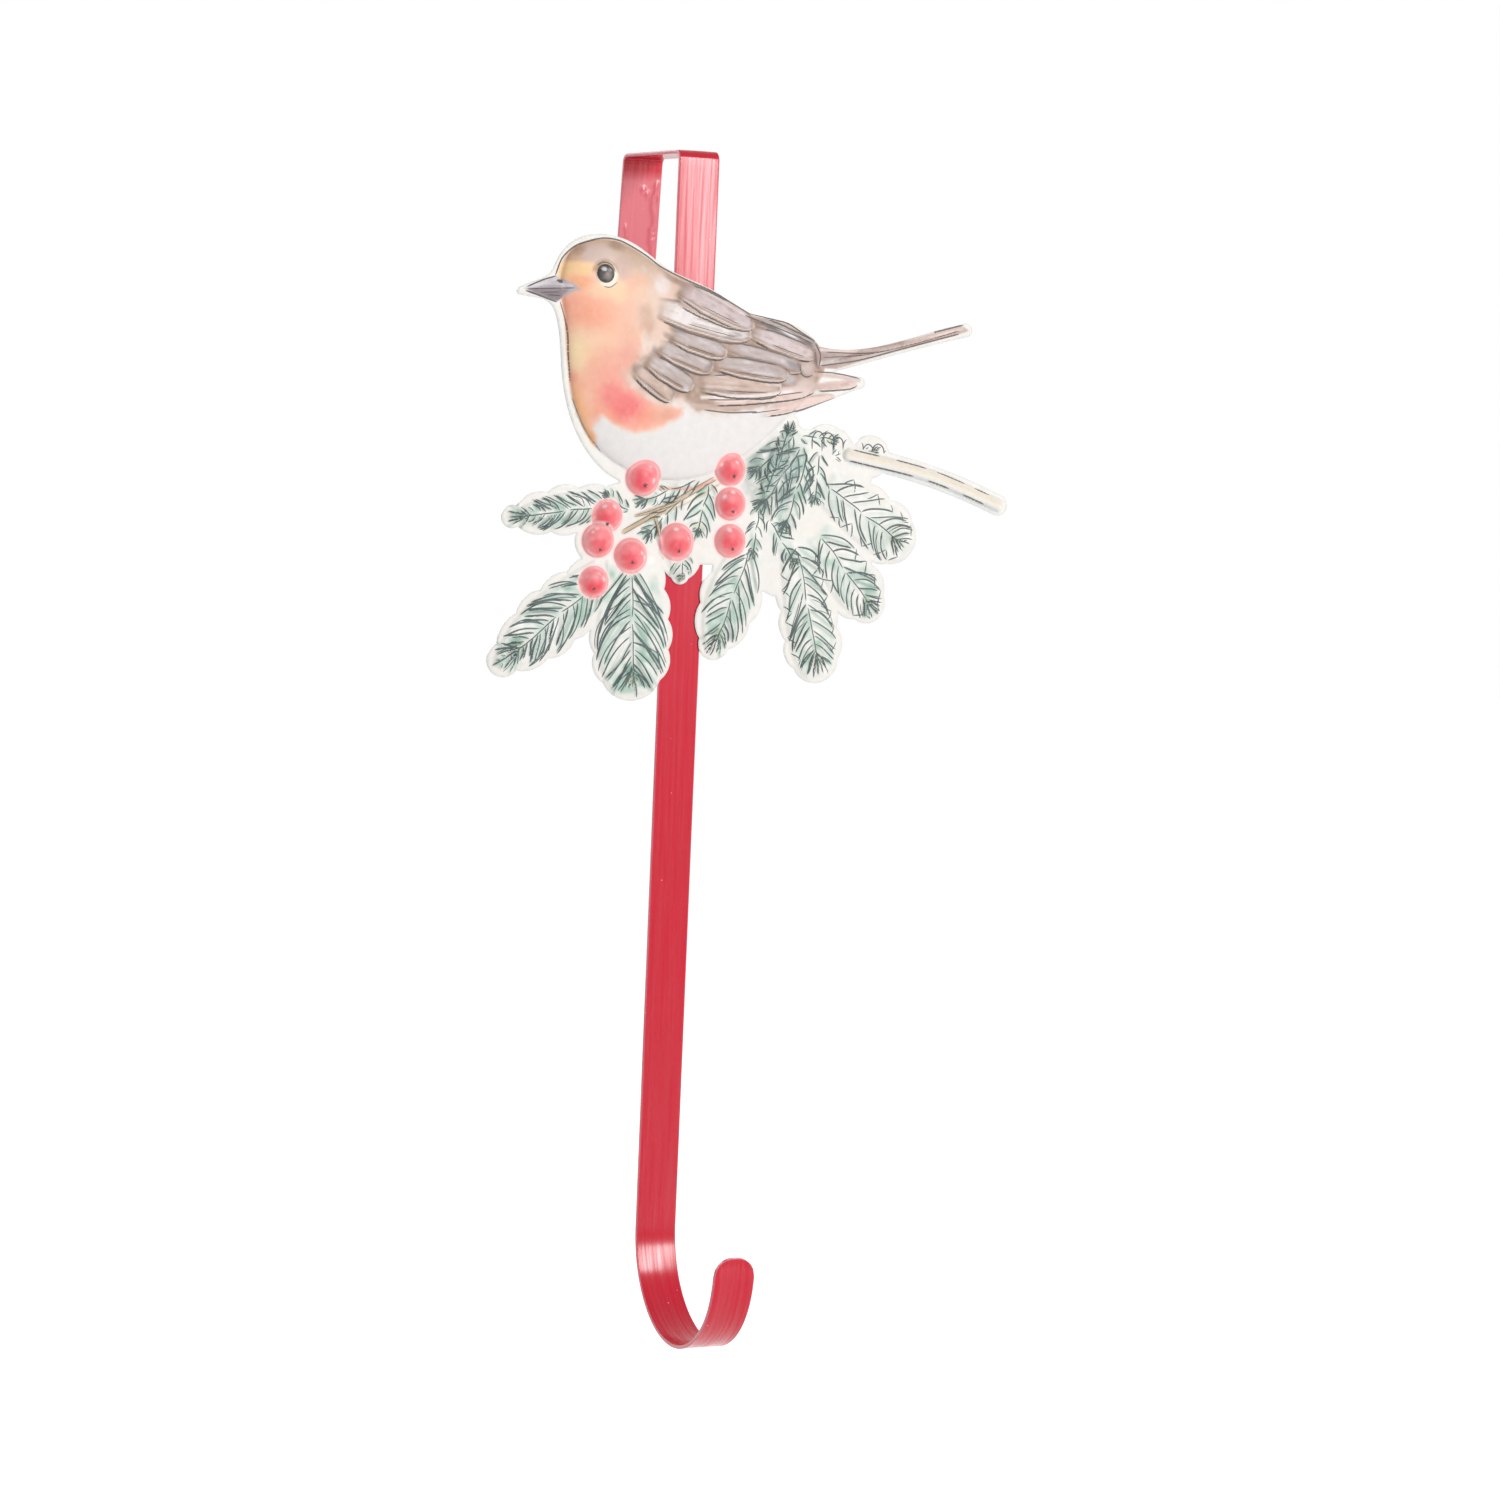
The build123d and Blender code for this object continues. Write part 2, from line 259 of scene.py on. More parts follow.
node(mottle_group, "NodeGroupOutput", Mottle=between(mottle_group, both, 0.0, 1.0, 0.3, 0.7))


def mottle(tree, place, scale, grain_share):
    """Places the shared mottle in a material."""
    return node(tree, "ShaderNodeGroup", {"node_tree": mottle_group},
                Place=place, Scale=scale, Grain=grain_share).outputs["Mottle"]


print("group:", mottle_group.name)

# %% [markdown]
# ## The strip
# The strip is one flat bar with rounded ends, bent three times. A sheet-metal worker marks the flat
# length and bends it, and the mesh is made the same way: a flat grid, whose rows are then walked along
# the bent line like a turtle, forward and round each bend. Solidify gives it thickness towards the
# outside and Bevel breaks its edges. Cold bending leaves a strip slightly crowned, so its edges sag by a
# tenth of a millimetre. Rows lie close together in the bends and where paint has run.

# %% Walk along the bent line
strip_width = 14.0
strip_thickness = 1.2
door_gap = 45.7
bend_radius = 2.0
back_leg = 60.0
flare = math.radians(4.7)
hook_drop = 353.2
hook_radius = 31.3
hook_sweep = math.radians(186)
end_flat = 1.2
edge_break = 0.25
crown = 0.09


class Walk:
    """Stations along the door side of the strip: place, outward direction and distance walked."""

    def __init__(self, start, heading):
        self.spot = np.array(start, float)
        self.heading = heading
        self.walked = 0.0
        self.stations = []
        self.note()

    def note(self):
        outward = np.array([math.sin(self.heading), -math.cos(self.heading)])
        self.stations.append((self.spot.copy(), outward, self.walked))

    def forward(self, length, step):
        count = math.ceil(length / step)
        for _ in range(count):
            self.spot += np.array([math.cos(self.heading), math.sin(self.heading)]) * length / count
            self.walked += length / count
            self.note()

    def turn(self, radius, angle, count):
        """Turns left, or right where the angle is negative, round a circle of that radius."""
        for _ in range(count):
            chord = 2 * radius * math.sin(abs(angle) / count / 2)
            self.heading += angle / count / 2
            self.spot += np.array([math.cos(self.heading), math.sin(self.heading)]) * chord
            self.heading += angle / count / 2
            self.walked += radius * abs(angle) / count
            self.note()


right_angle = math.pi / 2
back_turn = right_angle - flare
back_tangent = bend_radius * math.tan(back_turn / 2)
back_foot = (door_gap / 2 + back_leg * math.sin(flare), -back_leg * math.cos(flare))
walk = Walk(back_foot, right_angle + flare)
walk.forward(back_leg - back_tangent, 0.6)
walk.turn(bend_radius, back_turn, 14)
walk.forward(door_gap - back_tangent - bend_radius, 2.0)
walk.turn(bend_radius, right_angle, 14)
walk.forward(hook_drop - bend_radius, 2.5)
walk.turn(hook_radius + strip_thickness, -hook_sweep, 93)
strip_length = walk.walked
print("flat length of the strip:", round(strip_length, 1), "mm in", len(walk.stations), "rows")

# %% [markdown]
# Each vertex of the grid moves to its place on the bent line. Near the two ends the outer columns are
# pulled in, which rounds the ends. The flat coordinates are kept as a UV map and the distance to the rim
# as an attribute, because the paint needs both.

# %% Bend the grid along the line
columns = 29
rows = len(walk.stations)
bpy.ops.mesh.primitive_grid_add(x_subdivisions=columns - 1, y_subdivisions=rows - 1, size=1)
strip = bpy.context.object
strip.name = "painted_strip"
flat = np.empty(len(strip.data.vertices) * 3)
strip.data.vertices.foreach_get("co", flat)
flat = flat.reshape(-1, 3)
across = flat[:, 0] * strip_width
row = np.rint((flat[:, 1] + 0.5) * (rows - 1)).astype(int)
station_walked = np.array([station[2] for station in walk.stations])
along = station_walked[row]

corner_radius = (strip_width - end_flat) / 2
beyond_flat = np.clip(np.abs(across) - end_flat / 2, 0, corner_radius)
pulled_in = corner_radius - np.sqrt(corner_radius ** 2 - beyond_flat ** 2)
fade = corner_radius * 2
along = along + pulled_in * np.clip(1 - along / fade, 0, 1)
along = along - pulled_in * np.clip(1 - (strip_length - along) / fade, 0, 1)

station_spots = np.array([station[0] for station in walk.stations])
line_y = np.interp(along, station_walked, station_spots[:, 0])
line_z = np.interp(along, station_walked, station_spots[:, 1])
station_out = np.array([station[1] for station in walk.stations])
out_y = np.interp(along, station_walked, station_out[:, 0])
out_z = np.interp(along, station_walked, station_out[:, 1])
sag = crown * (2 * across / strip_width) ** 2
bent = np.column_stack([across, line_y - sag * out_y, line_z - sag * out_z]) * mm
strip.data.vertices.foreach_set("co", bent.ravel())
strip.data.update()

loop_vertex = np.empty(len(strip.data.loops), int)
strip.data.loops.foreach_get("vertex_index", loop_vertex)
flat_uv = np.column_stack([across, along])[loop_vertex] * mm
strip.data.uv_layers[0].data.foreach_set("uv", flat_uv.ravel())
past_side = np.abs(across) - end_flat / 2
past_end = np.abs(along - strip_length / 2) - (strip_length / 2 - corner_radius)
rim_gap = corner_radius - np.hypot(np.maximum(past_side, 0), np.maximum(past_end, 0))
rim_gap -= np.minimum(np.maximum(past_side, past_end), 0)
strip.data.attributes.new("rim_gap", "FLOAT", "POINT").data.foreach_set("value", rim_gap)
print("strip grid:", columns, "by", rows)

# %% Give the strip its thickness and broken edges
def normals_out():
    """Turns all faces of the active piece outward."""
    bpy.ops.object.mode_set(mode="EDIT")
    bpy.ops.mesh.select_all(action="SELECT")
    bpy.ops.mesh.normals_make_consistent(inside=False)
    bpy.ops.object.mode_set(mode="OBJECT")


first_normal = strip.data.polygons[0].normal
outward_first = 1 if first_normal.y > 0 else -1
solidify = strip.modifiers.new("thickness", "SOLIDIFY")
solidify.thickness = strip_thickness * mm
solidify.offset = outward_first
solidify.use_even_offset = True
bpy.ops.object.modifier_apply(modifier=solidify.name)
normals_out()
bevel = strip.modifiers.new("edges", "BEVEL")
bevel.width = edge_break * mm
bevel.segments = 3
bevel.limit_method = "ANGLE"
bevel.angle_limit = math.radians(50)
bpy.ops.object.modifier_apply(modifier=bevel.name)
print("strip faces:", len(strip.data.polygons))

# %% [markdown]
# Paint has run along both edges of the back leg, on the side that faces the door, and has dried in
# beads. The runs are real bumps, so that they catch the light: each is a wavering line with round drops,
# and the vertices under it are lifted along their normals.

# %% Paint runs on the back leg
run_height = 0.32
run_start, run_stop = 0.5, 56.0
reflection_fade = 4.0
drop_share = 1.3
paint_runs = [  # place across, first and last distance up the leg, waver, width
    (4.9, 4, 53, 0.5, 0.75), (6, 20, 50, 0.3, 0.5), (-5.9, 3, 30, 0.35, 0.5), (-4.8, 18, 24, 0.9, 0.45),
    (-5, 33, 38, 0.8, 0.4), (1.5, 46, 50, 2, 0.6),
]
drop_rng = np.random.default_rng(3)
drops = [(x + drop_rng.normal(0, 0.5), drop_rng.uniform(low, high), drop_rng.uniform(0.4, 0.8))
         for x, low, high, _, _ in paint_runs for _ in range(int((high - low) / 4))]
leg_up = np.array([0, -math.sin(flare), math.cos(flare)])
leg_foot = np.array([0, *back_foot])
lifted = 0
# A share for the painted reflection on the inside of the back leg, fading out near the bend.
painted_reflection = strip.data.attributes.new("painted_reflection", "FLOAT", "POINT")
for vertex in strip.data.vertices:
    spot = np.array(vertex.co) / mm
    walked = float((spot - leg_foot) @ leg_up)
    if spot[1] > door_gap / 2 - 1 and run_start < walked < run_stop and vertex.normal.y < -0.9:
        painted_reflection.data[vertex.index].value = min(1, (run_stop - walked) / reflection_fade)
        lift = 0.0
        for x, low, high, waver, width in paint_runs:
            middle = x + waver * math.sin(walked * 0.55 + x) + 0.4 * waver * math.sin(walked * 1.7)
            ends = min(1, max(0, walked - low) / 2) * min(1, max(0, high - walked) / 2)
            lift = max(lift, ends * math.exp(-((spot[0] - middle) / width) ** 2))
        for x, height, size in drops:
            gap = math.hypot(spot[0] - x, walked - height)
            lift = max(lift, drop_share * math.exp(-(gap / size) ** 2))
        if lift > 0.02:
            vertex.co += vertex.normal * lift * run_height * mm
            lifted += 1
bpy.ops.object.shade_smooth_by_angle(angle=math.radians(35))
print("vertices lifted by paint runs:", lifted)

# %% [markdown]
# The paint is a satin red enamel put on by brush. Its strokes follow the strip, so their pattern is laid
# along the strip's own flat coordinates and stretched lengthwise. The strokes show as faint streaks of
# colour, as gloss that comes and goes and as a shallow bump. Pale specks are dust in the paint, dark ones
# are small slanted scratches. The edges are paler, as painted highlight and worn paint, and the inside of
# the back leg has a painted pale pink reflection.

# %% Satin red paint
red_paint, tree, shader, place = finish("satin_red_paint")
strip_uv = node(tree, "ShaderNodeUVMap", {"uv_map": strip.data.uv_layers[0].name}).outputs["UV"]
brush = noise(tree, mapped(tree, strip_uv, (1100, 26, 1)), 1.0, 5.0, 0.4)
brush = between(tree, brush, 0.0, 1.0, 0.35, 0.65)
patches = mottle(tree, place, 60.0, 0.25)
specks = dots(tree, place, 170.0, 0.045, 0.03)
scratches = dots(tree, mapped(tree, strip_uv, (150, 48, 1), 0.5), 1.0, 0.035, 0.022)
# Painted reflection: pale pink on the inside of the back leg.
painted_reflection_mask = between(tree, kept(tree, "painted_reflection", "Fac"), 0.0, 0.6)
# Paler edges: a painted highlight along them, and paint worn there.
edge_highlight_and_wear = between(tree, kept(tree, "rim_gap", "Fac"), 0.0, 0.5, 0.4, 0.1)
colour = mixed(tree, patches, tint(196, 1, 35), tint(203, 9, 44))
for mask, over in ((between(tree, brush, 0.0, 0.3), tint(214, 34, 62)), (specks, tint(236, 150, 160)),
                   (painted_reflection_mask, tint(240, 150, 160)), (edge_highlight_and_wear, tint(238, 140, 152)),
                   (scratches, tint(116, 18, 34))):
    colour = mixed(tree, mask, colour, over)
gloss = node(tree, "ShaderNodeMix", {"data_type": "FLOAT"}, _0=0.5, _2=patches, _3=brush).outputs[0]
plug(tree, shader, Base_Color=colour, Roughness=between(tree, gloss, 0.36, 0.5), IOR=1.18,
     Coat_Weight=between(tree, brush, 1.0, 0.45), Coat_Roughness=0.2, Coat_IOR=1.45,
     Normal=bump(tree, brush, 0.5, 0.00003))
strip.data.materials.clear()
strip.data.materials.append(red_paint)
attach(strip, "root")
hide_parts("hanger_strip")
print("strip painted")

# %% [markdown]
# ## The plaque's relief
# The plaque is thin tin, printed flat, then pressed and cut out. Its relief is a height for every point
# of the drawing, in millimetres across and up from the plaque's centre on the strip. Each form adds its
# own height: a swollen body, feathers whose lower edges stand off, round berries, a half-round stem and
# fine ridges for needles. One function gives the height, and the mesh and the ink both use it.

# %% Drawing of the robin
plaque_drop = 100.0
sheet_thickness = 0.6
sheet_front = -door_gap / 2 - strip_thickness - sheet_thickness
sheet_back = sheet_front + sheet_thickness
body_height = 5.0
berry_height = 2.7

body_line = [
    (-47, 57.5), (-44, 66.4), (-37.5, 70.2), (-29, 70.3), (-20, 66.8), (-8, 60), (6, 54.2), (20, 47.6),
    (34, 44.6), (44, 38), (44, 27), (34, 15.5), (20, 3.5), (4, -4.2), (-12, -5.2), (-25, -1), (-35, 7),
    (-41, 18), (-43.4, 31), (-45, 45),
]
body_centre = np.array([-12.0, 29.0])
cool, mauve, pale = (188, 173, 170), (220, 202, 201), (238, 228, 225)
warm, rosy, dusky, peach = (206, 178, 164), (236, 208, 198), (182, 168, 164), (224, 196, 182)
feathers = [  # root, tip, half width, colour, from the lowest up
    ((22, 16.6), (52, 23.6), 1.9, rosy), ((42, 26), (60, 28), 1.5, rosy),
    ((1.4, 20.2), (44, 25.2), 2.3, rosy), ((-1.6, 26.2), (31, 25.6), 3.9, warm),
    ((20, 48.4), (45.5, 38.6), 2.5, dusky), ((17, 44.2), (43.5, 36.4), 3.3, mauve),
    ((8, 38.8), (39, 32), 3.1, cool), ((3.5, 33.4), (33.5, 29.8), 3.4, cool),
    ((-23.2, 30.6), (-8.2, 20.6), 3, warm), ((-19.2, 33.8), (-1.4, 24.6), 3.5, cool),
    ((-15.4, 38), (5.2, 30.8), 3.5, cool), ((-11.4, 42), (10.2, 36), 3.5, cool),
    ((-17, 50.4), (19.4, 42.6), 4.9, pale), ((-9, 53.2), (15.5, 44.8), 2.2, peach),
    ((-8.6, 57.4), (20.8, 45.6), 4.3, mauve),
]
crests = [  # root, tip, half width, where it is widest, height
    ((-42, 54.3), (-59.8, 53.4), 3.4, 0.3, 2.6), ((48, 34.1), (100.2, 47.3), 1.6, 0.25, 1.8),
    ((33, 23), (61, 28.6), 2, 0.4, 1.8),
]
eye_place = (-33.0, 60.0)
eye_radius = 3.3
print("robin:", len(feathers), "feathers")

# %% Drawing of the sprig
fronds = [  # root, tip, half width, where it is widest, bluntness
    ((-26, -14), (-64.3, -19.3), 7.6, 0.45, 1.6), ((-27, -36.5), (-66.3, -68.4), 11, 0.5, 1.6),
    ((-19, -32), (-16.5, -78), 14, 0.55, 2.2), ((-1, -25), (-1.2, -39.6), 6.4, 0.4, 1.8),
    ((23, -28), (10, -64), 10.8, 0.45, 1.7), ((40, -26), (51, -71.5), 10.3, 0.65, 2.4),
    ((48, -22), (71.5, -50), 10, 0.55, 2), ((50, -6), (83, -27.5), 10.5, 0.6, 2.6),
    ((28, -10), (37.5, 16.8), 5.4, 0.45, 1.7),
]
inner_fronds = [  # printed only, between the others
    ((38, 11), (21, -5), 6.5, 0.5, 2), ((41, 7), (24, -17), 7.5, 0.5, 2),
    ((43, 4), (34, -25), 7.5, 0.5, 2), ((47, 5), (46, -14), 5.5, 0.5, 2), ((8, -6), (3, -26), 7, 0.5, 2),
    ((-2, -11), (-16, -26), 6, 0.5, 2), ((4, -5), (-20, -14), 5.5, 0.5, 2),
    ((40, 10), (55, 9), 4.5, 0.5, 2), ((52, 4), (70, 6), 4, 0.5, 2),
    ((-20, -16), (-30, -10), 4.5, 0.5, 2), ((30, -18), (41, -34), 6, 0.5, 2),
    ((26, -14), (24, -32), 5, 0.5, 2),
]
greenness = [
    1.0, 0.95, 1.0, 0.8, 0.75, 0.7, 0.75, 0.4, 1.0, 1.0, 1.0, 0.9, 0.7, 0.9, 0.9, 0.8, 0.7, 0.4, 0.8,
    0.6, 0.7,
]
twigs = [((-22, -23), (13, -3), 1.1), ((-11, -18), (-7.5, -31), 0.8), ((-3, -12.5), (-18, -17.5), 0.7)]
stem_line = [(58, 4.4), (88, -1.6), (114.8, -10.9)]
berries = [  # centre, diameter
    ((-16, -5.2), 12), ((15, -1.6), 11), ((15.6, -12.8), 11), ((16, -25), 11.2), ((-3.2, -25.7), 12.5),
    ((-19.2, -30.5), 11.7), ((-28, -17.8), 11), ((-30.8, -25.8), 11.3), ((-31.9, -39.2), 10.5),
]
frond_root = 0.75
rim_width = 2.2
stem_radius = 2.2


def frond_half_width(share, half_width, widest, bluntness):
    """Half the width of a frond at a share of its length."""
    swell = frond_root + (1 - frond_root) * np.sin(math.pi / 2 * np.minimum(1, share / widest))
    past = np.clip((share - widest) / (1 - widest), 0, 1)
    return half_width * swell * (1 - past ** bluntness) ** (1 / bluntness)


print("sprig:", len(fronds), "fronds and", len(berries), "berries")

# %% [markdown]
# Points, lines and outlines are measured with a few plain functions: the distance to a line, whether a
# point lies inside an outline, and a soft step that turns a distance into a mask with a blurred edge.

# %% Measuring helpers
def smooth_line(points, step=0.7, closed=False):
    """A curve through the points, as points about a step apart."""
    points = np.asarray(points, float)
    if closed:
        padded = np.vstack([points[-1:], points, points[:2]])
    else:
        padded = np.vstack([2 * points[:1] - points[1:2], points, 2 * points[-1:] - points[-2:-1]])
    run = []
    for a, b, c, d in zip(padded, padded[1:], padded[2:], padded[3:]):
        count = max(2, math.ceil(np.linalg.norm(c - b) / step))
        t = np.linspace(0, 1, count, endpoint=False)[:, None]
        run.append(b + 0.5 * t * (c - a + t * (2 * a - 5 * b + 4 * c - d + t * (3 * (b - c) + d - a))))
    if not closed:
        run.append(points[-1:])
    return np.vstack(run)


def line_distance(spots, line, closed=False):
    """Distance from each spot to a line of points."""
    line = np.asarray(line, float)
    ends = np.roll(line, -1, axis=0) if closed else line[1:]
    starts = line if closed else line[:-1]
    best = np.full(len(spots), np.inf)
    for first in range(0, len(spots), 4000):
        piece = spots[first:first + 4000, None]
        reach = ends - starts
        share = ((piece - starts) * reach).sum(2) / np.maximum((reach ** 2).sum(1), 1e-12)
        gap = piece - starts - np.clip(share, 0, 1)[:, :, None] * reach
        best[first:first + 4000] = np.sqrt((gap ** 2).sum(2).min(1))
    return best


def inside(spots, outline):
    """Whether each spot lies inside a closed outline."""
    outline = np.asarray(outline, float)
    after = np.roll(outline, -1, axis=0)
    odd = np.zeros(len(spots), bool)
    for first in range(0, len(spots), 4000):
        x, y = spots[first:first + 4000, 0, None], spots[first:first + 4000, 1, None]
        spans = (outline[:, 1] > y) != (after[:, 1] > y)
        rise = np.where(after[:, 1] == outline[:, 1], 1e-9, after[:, 1] - outline[:, 1])
        crossing = outline[:, 0] + (y - outline[:, 1]) * (after[:, 0] - outline[:, 0]) / rise
        odd[first:first + 4000] = (spans & (x < crossing)).sum(1) % 2 == 1
    return odd


def soft(distance, blur):
    """1 where the distance is well below 0, 0 where it is well above, smooth between."""
    t = np.clip(0.5 - distance / blur, 0, 1)
    return t * t * (3 - 2 * t)


def within(spots, outline, blur, uneven=0.0):
    """A mask of the inside of an outline, with a blurred and uneven edge."""
    distance = line_distance(spots, outline, closed=True)
    distance = np.where(inside(spots, outline), -distance, distance)
    return soft(distance + uneven * cloud_noise(spots, 2.6, 17), blur)


def cloud_noise(spots, size, seed):
    """Smooth noise from -1 to 1 with clouds of about that size."""
    lattice = np.random.default_rng(seed).uniform(-1, 1, (128, 128))
    total = 0
    for octave, weight in ((1, 0.65), (2.3, 0.35)):
        grid = spots / size * octave + 64
        cell = np.floor(grid).astype(int)
        t = grid - cell
        t = t * t * (3 - 2 * t)
        x0, y0 = cell[:, 0] % 128, cell[:, 1] % 128
        x1, y1 = (x0 + 1) % 128, (y0 + 1) % 128
        low = lattice[x0, y0] * (1 - t[:, 0]) + lattice[x1, y0] * t[:, 0]
        high = lattice[x0, y1] * (1 - t[:, 0]) + lattice[x1, y1] * t[:, 0]
        total = total + weight * (low * (1 - t[:, 1]) + high * t[:, 1])
    return total


print("measuring helpers ready")

# %% [markdown]
# Needles are drawn by rule. They leave each midrib in pairs, lean towards the tip and end near the rim,
# with small seeded differences, so no two are alike. The same needles are pressed into the sheet as fine
# ridges and later inked.

# %% Needles
needle_rng = np.random.default_rng(11)


def frond_needles(root, tip, *form, pitch=3.0):
    """Needles of one frond, each as a root, a tip and a sideways bow."""
    root, reach = np.array(root), np.array(tip) - np.array(root)
    length = np.linalg.norm(reach)
    ahead = reach / length
    side = np.array([-ahead[1], ahead[0]])
    made = []
    for share in np.arange(0.03, 0.9, pitch / length):
        for hand in (1, -1):
            slant = math.radians(needle_rng.uniform(28, 46))
            room = frond_half_width(share + 0.17, *form) - rim_width * 0.8
            long = max(2.0, room / math.sin(slant)) * needle_rng.uniform(0.72, 1.0)
            start = root + reach * (share + needle_rng.uniform(-0.3, 0.3) * pitch / length)
            start = start + side * hand * needle_rng.uniform(0.2, 0.9)
            end = start + (ahead * math.cos(slant) + side * hand * math.sin(slant)) * long
            made.append((start, end, hand * needle_rng.uniform(-0.02, 0.16) * long))
    for spread in np.linspace(-1, 1, 7):
        start = root + reach * needle_rng.uniform(0.74, 0.8)
        slant = spread * 0.8 + needle_rng.normal(0, 0.06)
        long = length * 0.2 * needle_rng.uniform(0.7, 1.0)
        end = start + (ahead * math.cos(slant) + side * math.sin(slant)) * min(long, 9)
        made.append((start, end, spread * 0.4))
    return made


needle_pitch = [1.9, 2.0, 2.3, 2.7, 2.7, 3.0, 3.1, 3.6] + [3.1] * (len(fronds) + len(inner_fronds) - 8)
needles = [frond_needles(*frond, pitch=pitch) for frond, pitch in zip(fronds + inner_fronds, needle_pitch)]
print("needles:", sum(len(group) for group in needles))

# %% [markdown]
# The body swells from its outline to its middle, so a spot's height follows from how far out it lies
# between the two. A feather is measured in its own frame, along and across the line from root to tip.

# %% Body and feathers
tip_start = 0.6
root_share = 0.62
body_outline = smooth_line(body_line, closed=True)
body_angles = np.arctan2(*(body_outline - body_centre).T[::-1])
body_order = np.argsort(body_angles)
body_reach = np.linalg.norm(body_outline - body_centre, axis=1)[body_order]
body_angles = body_angles[body_order]


def body_share(spots):
    """How far out each spot lies between the body's centre, 0, and its outline, 1."""
    gap = spots - body_centre
    edge = np.interp(np.arctan2(gap[:, 1], gap[:, 0]), body_angles, body_reach, period=2 * math.pi)
    return np.linalg.norm(gap, axis=1) / edge


def body_dome(spots, shrink=1.0):
    """Height of the swollen body: a quarter ellipse from its outline to its middle."""
    return body_height * np.sqrt(np.clip(1 - (body_share(spots) / shrink) ** 2, 0, 1))


def leaf_frame(spots, root, tip):
    """Share along a line, distance across it and the line's length."""
    root, reach = np.array(root), np.array(tip) - np.array(root)
    length = np.linalg.norm(reach)
    ahead = reach / length
    gap = spots - root
    return gap @ ahead / length, gap @ np.array([-ahead[1], ahead[0]]), length


def feather_half_width(share, half_width):
    """Half the width of a feather at a share of its length: narrower at the root and blunt at the tip."""
    past = np.clip((share - tip_start) / (1 - tip_start), 0, 1)
    return half_width * np.clip(root_share + share, 0, 1) * np.sqrt(1 - past ** 3) * (share > 0)


def feather_across(spots, root, tip, half_width):
    """Where a spot lies across a feather, from -1 to 1 at its upper edge, its room and the share along it."""
    share, side, _ = leaf_frame(spots, root, tip)
    room = feather_half_width(share, half_width)
    return side / np.maximum(room, 1e-3), room, share


print("body outline:", len(body_outline), "points")

# %% Ridges and caps
def crest_height(spots, root, tip, half_width, widest, height):
    """Height of a ridge with a sharp line from root to tip."""
    share, side, _ = leaf_frame(spots, root, tip)
    taper = np.where(share < widest, share / widest, (1 - share) / (1 - widest))
    return height * np.clip(taper - np.abs(side) / half_width, 0, 1)


def cap_height(spots, centre, radius, height):
    """Height of the cap of a ball."""
    ball = (radius ** 2 + height ** 2) / (2 * height)
    gap = ((spots - np.array(centre)) ** 2).sum(1)
    return np.maximum(np.sqrt(np.maximum(ball ** 2 - gap, 0)) - (ball - height), 0)


def ridge(spots, start, end, half_width, height):
    """Height of a rounded ridge along a straight run, fading at both ends."""
    share, side, _ = leaf_frame(spots, start, end)
    ends = np.clip(share * 6, 0, 1) * np.clip((1 - share) * 3, 0, 1)
    return height * np.clip(1 - (side / half_width) ** 2, 0, 1) * ends


berry_top = cap_height(np.zeros((1, 2)), (0, 0), 5.5, berry_height)[0]
print("top of a berry:", round(float(berry_top), 2), "mm")

# %% [markdown]
# The forms are then put together. Feathers cover each other like tiles, so a later one takes the place of
# those below it. Where other forms meet, the higher one shows.

# %% Height of the relief
feather_rise, feather_slope, feather_lip = 0.32, 0.26, 0.3
frond_rise, midrib_rise, needle_rise, twig_rise, stem_rise = 0.5, 0.4, 0.3, 1.1, 1.5
needle_half_width = 0.75
sprig_top = 1.6
eye_rise = 1.1
hollow_share = 0.96


def feather_height(spots):
    """Height of the feathers above the body, each with a lip along its lower edge."""
    lift = np.zeros(len(spots))
    for root, tip, half_width, _ in feathers:
        side, room, share = feather_across(spots, root, tip, half_width)
        on = soft((np.abs(side) - 1) * room, 0.5) * (room > 0.2)
        on = on * soft((0.1 - share) * math.dist(root, tip), 3)
        lower_edge = np.exp(-((side + 0.85) * room / 0.5) ** 2)
        lift = lift * (1 - on) + on * (feather_rise - feather_slope * side + feather_lip * lower_edge)
    return lift


def sprig_height(spots):
    """Height of the fronds, needles, twigs and stem."""
    sprig = np.zeros(len(spots))
    for frond in fronds:
        share, side, length = leaf_frame(spots, *frond[:2])
        room = frond_half_width(np.clip(share, 0, 1), *frond[2:]) - rim_width
        on = soft(np.abs(side) - room, 1.6) * soft(-share * length, 3) * soft((share - 0.95) * length, 2)
        sprig = np.maximum(sprig, frond_rise * on)
        sprig = np.maximum(sprig, midrib_rise * on + ridge(spots, frond[0], frond[1], 1.0, midrib_rise))
    for group in needles[:len(fronds)]:
        for start, end, _ in group:
            low, high = np.minimum(start, end) - 1, np.maximum(start, end) + 1
            near = np.flatnonzero(((spots > low) & (spots < high)).all(1))
            sprig[near] += ridge(spots[near], start, end, needle_half_width, needle_rise)
    for start, end, width in twigs:
        sprig = np.maximum(sprig, ridge(spots, start, end, width, twig_rise))
    stem = line_distance(spots, smooth_line(stem_line))
    sprig = np.maximum(sprig, stem_rise * np.sqrt(np.clip(1 - (stem / stem_radius) ** 2, 0, 1)))
    return np.minimum(sprig, sprig_top)


def relief_height(spots):
    """Height of the pressed sheet above its flat front, for each spot of the drawing."""
    body = body_dome(spots)
    height = body + feather_height(spots) * np.clip(body / 1.5, 0, 1)
    for crest in crests:
        height = np.maximum(height, crest_height(spots, *crest))
    height = np.maximum(height, sprig_height(spots) * np.clip((body_share(spots) - 1) * 8, 0, 1))
    for centre, diameter in berries:
        height = np.maximum(height, cap_height(spots, centre, diameter / 2, berry_height))
    return height + cap_height(spots, eye_place, eye_radius, eye_rise)


def hollow_height(spots):
    """Height of the plain back: it follows the large forms and stays flat behind the small ones."""
    height = body_dome(spots, hollow_share)
    for centre, diameter in berries:
        height = np.maximum(height, cap_height(spots, centre, diameter / 2 - 1.0, berry_height * 0.7))
    return height


print("height over the robin's middle:", round(float(relief_height(body_centre[None])[0]), 2), "mm")

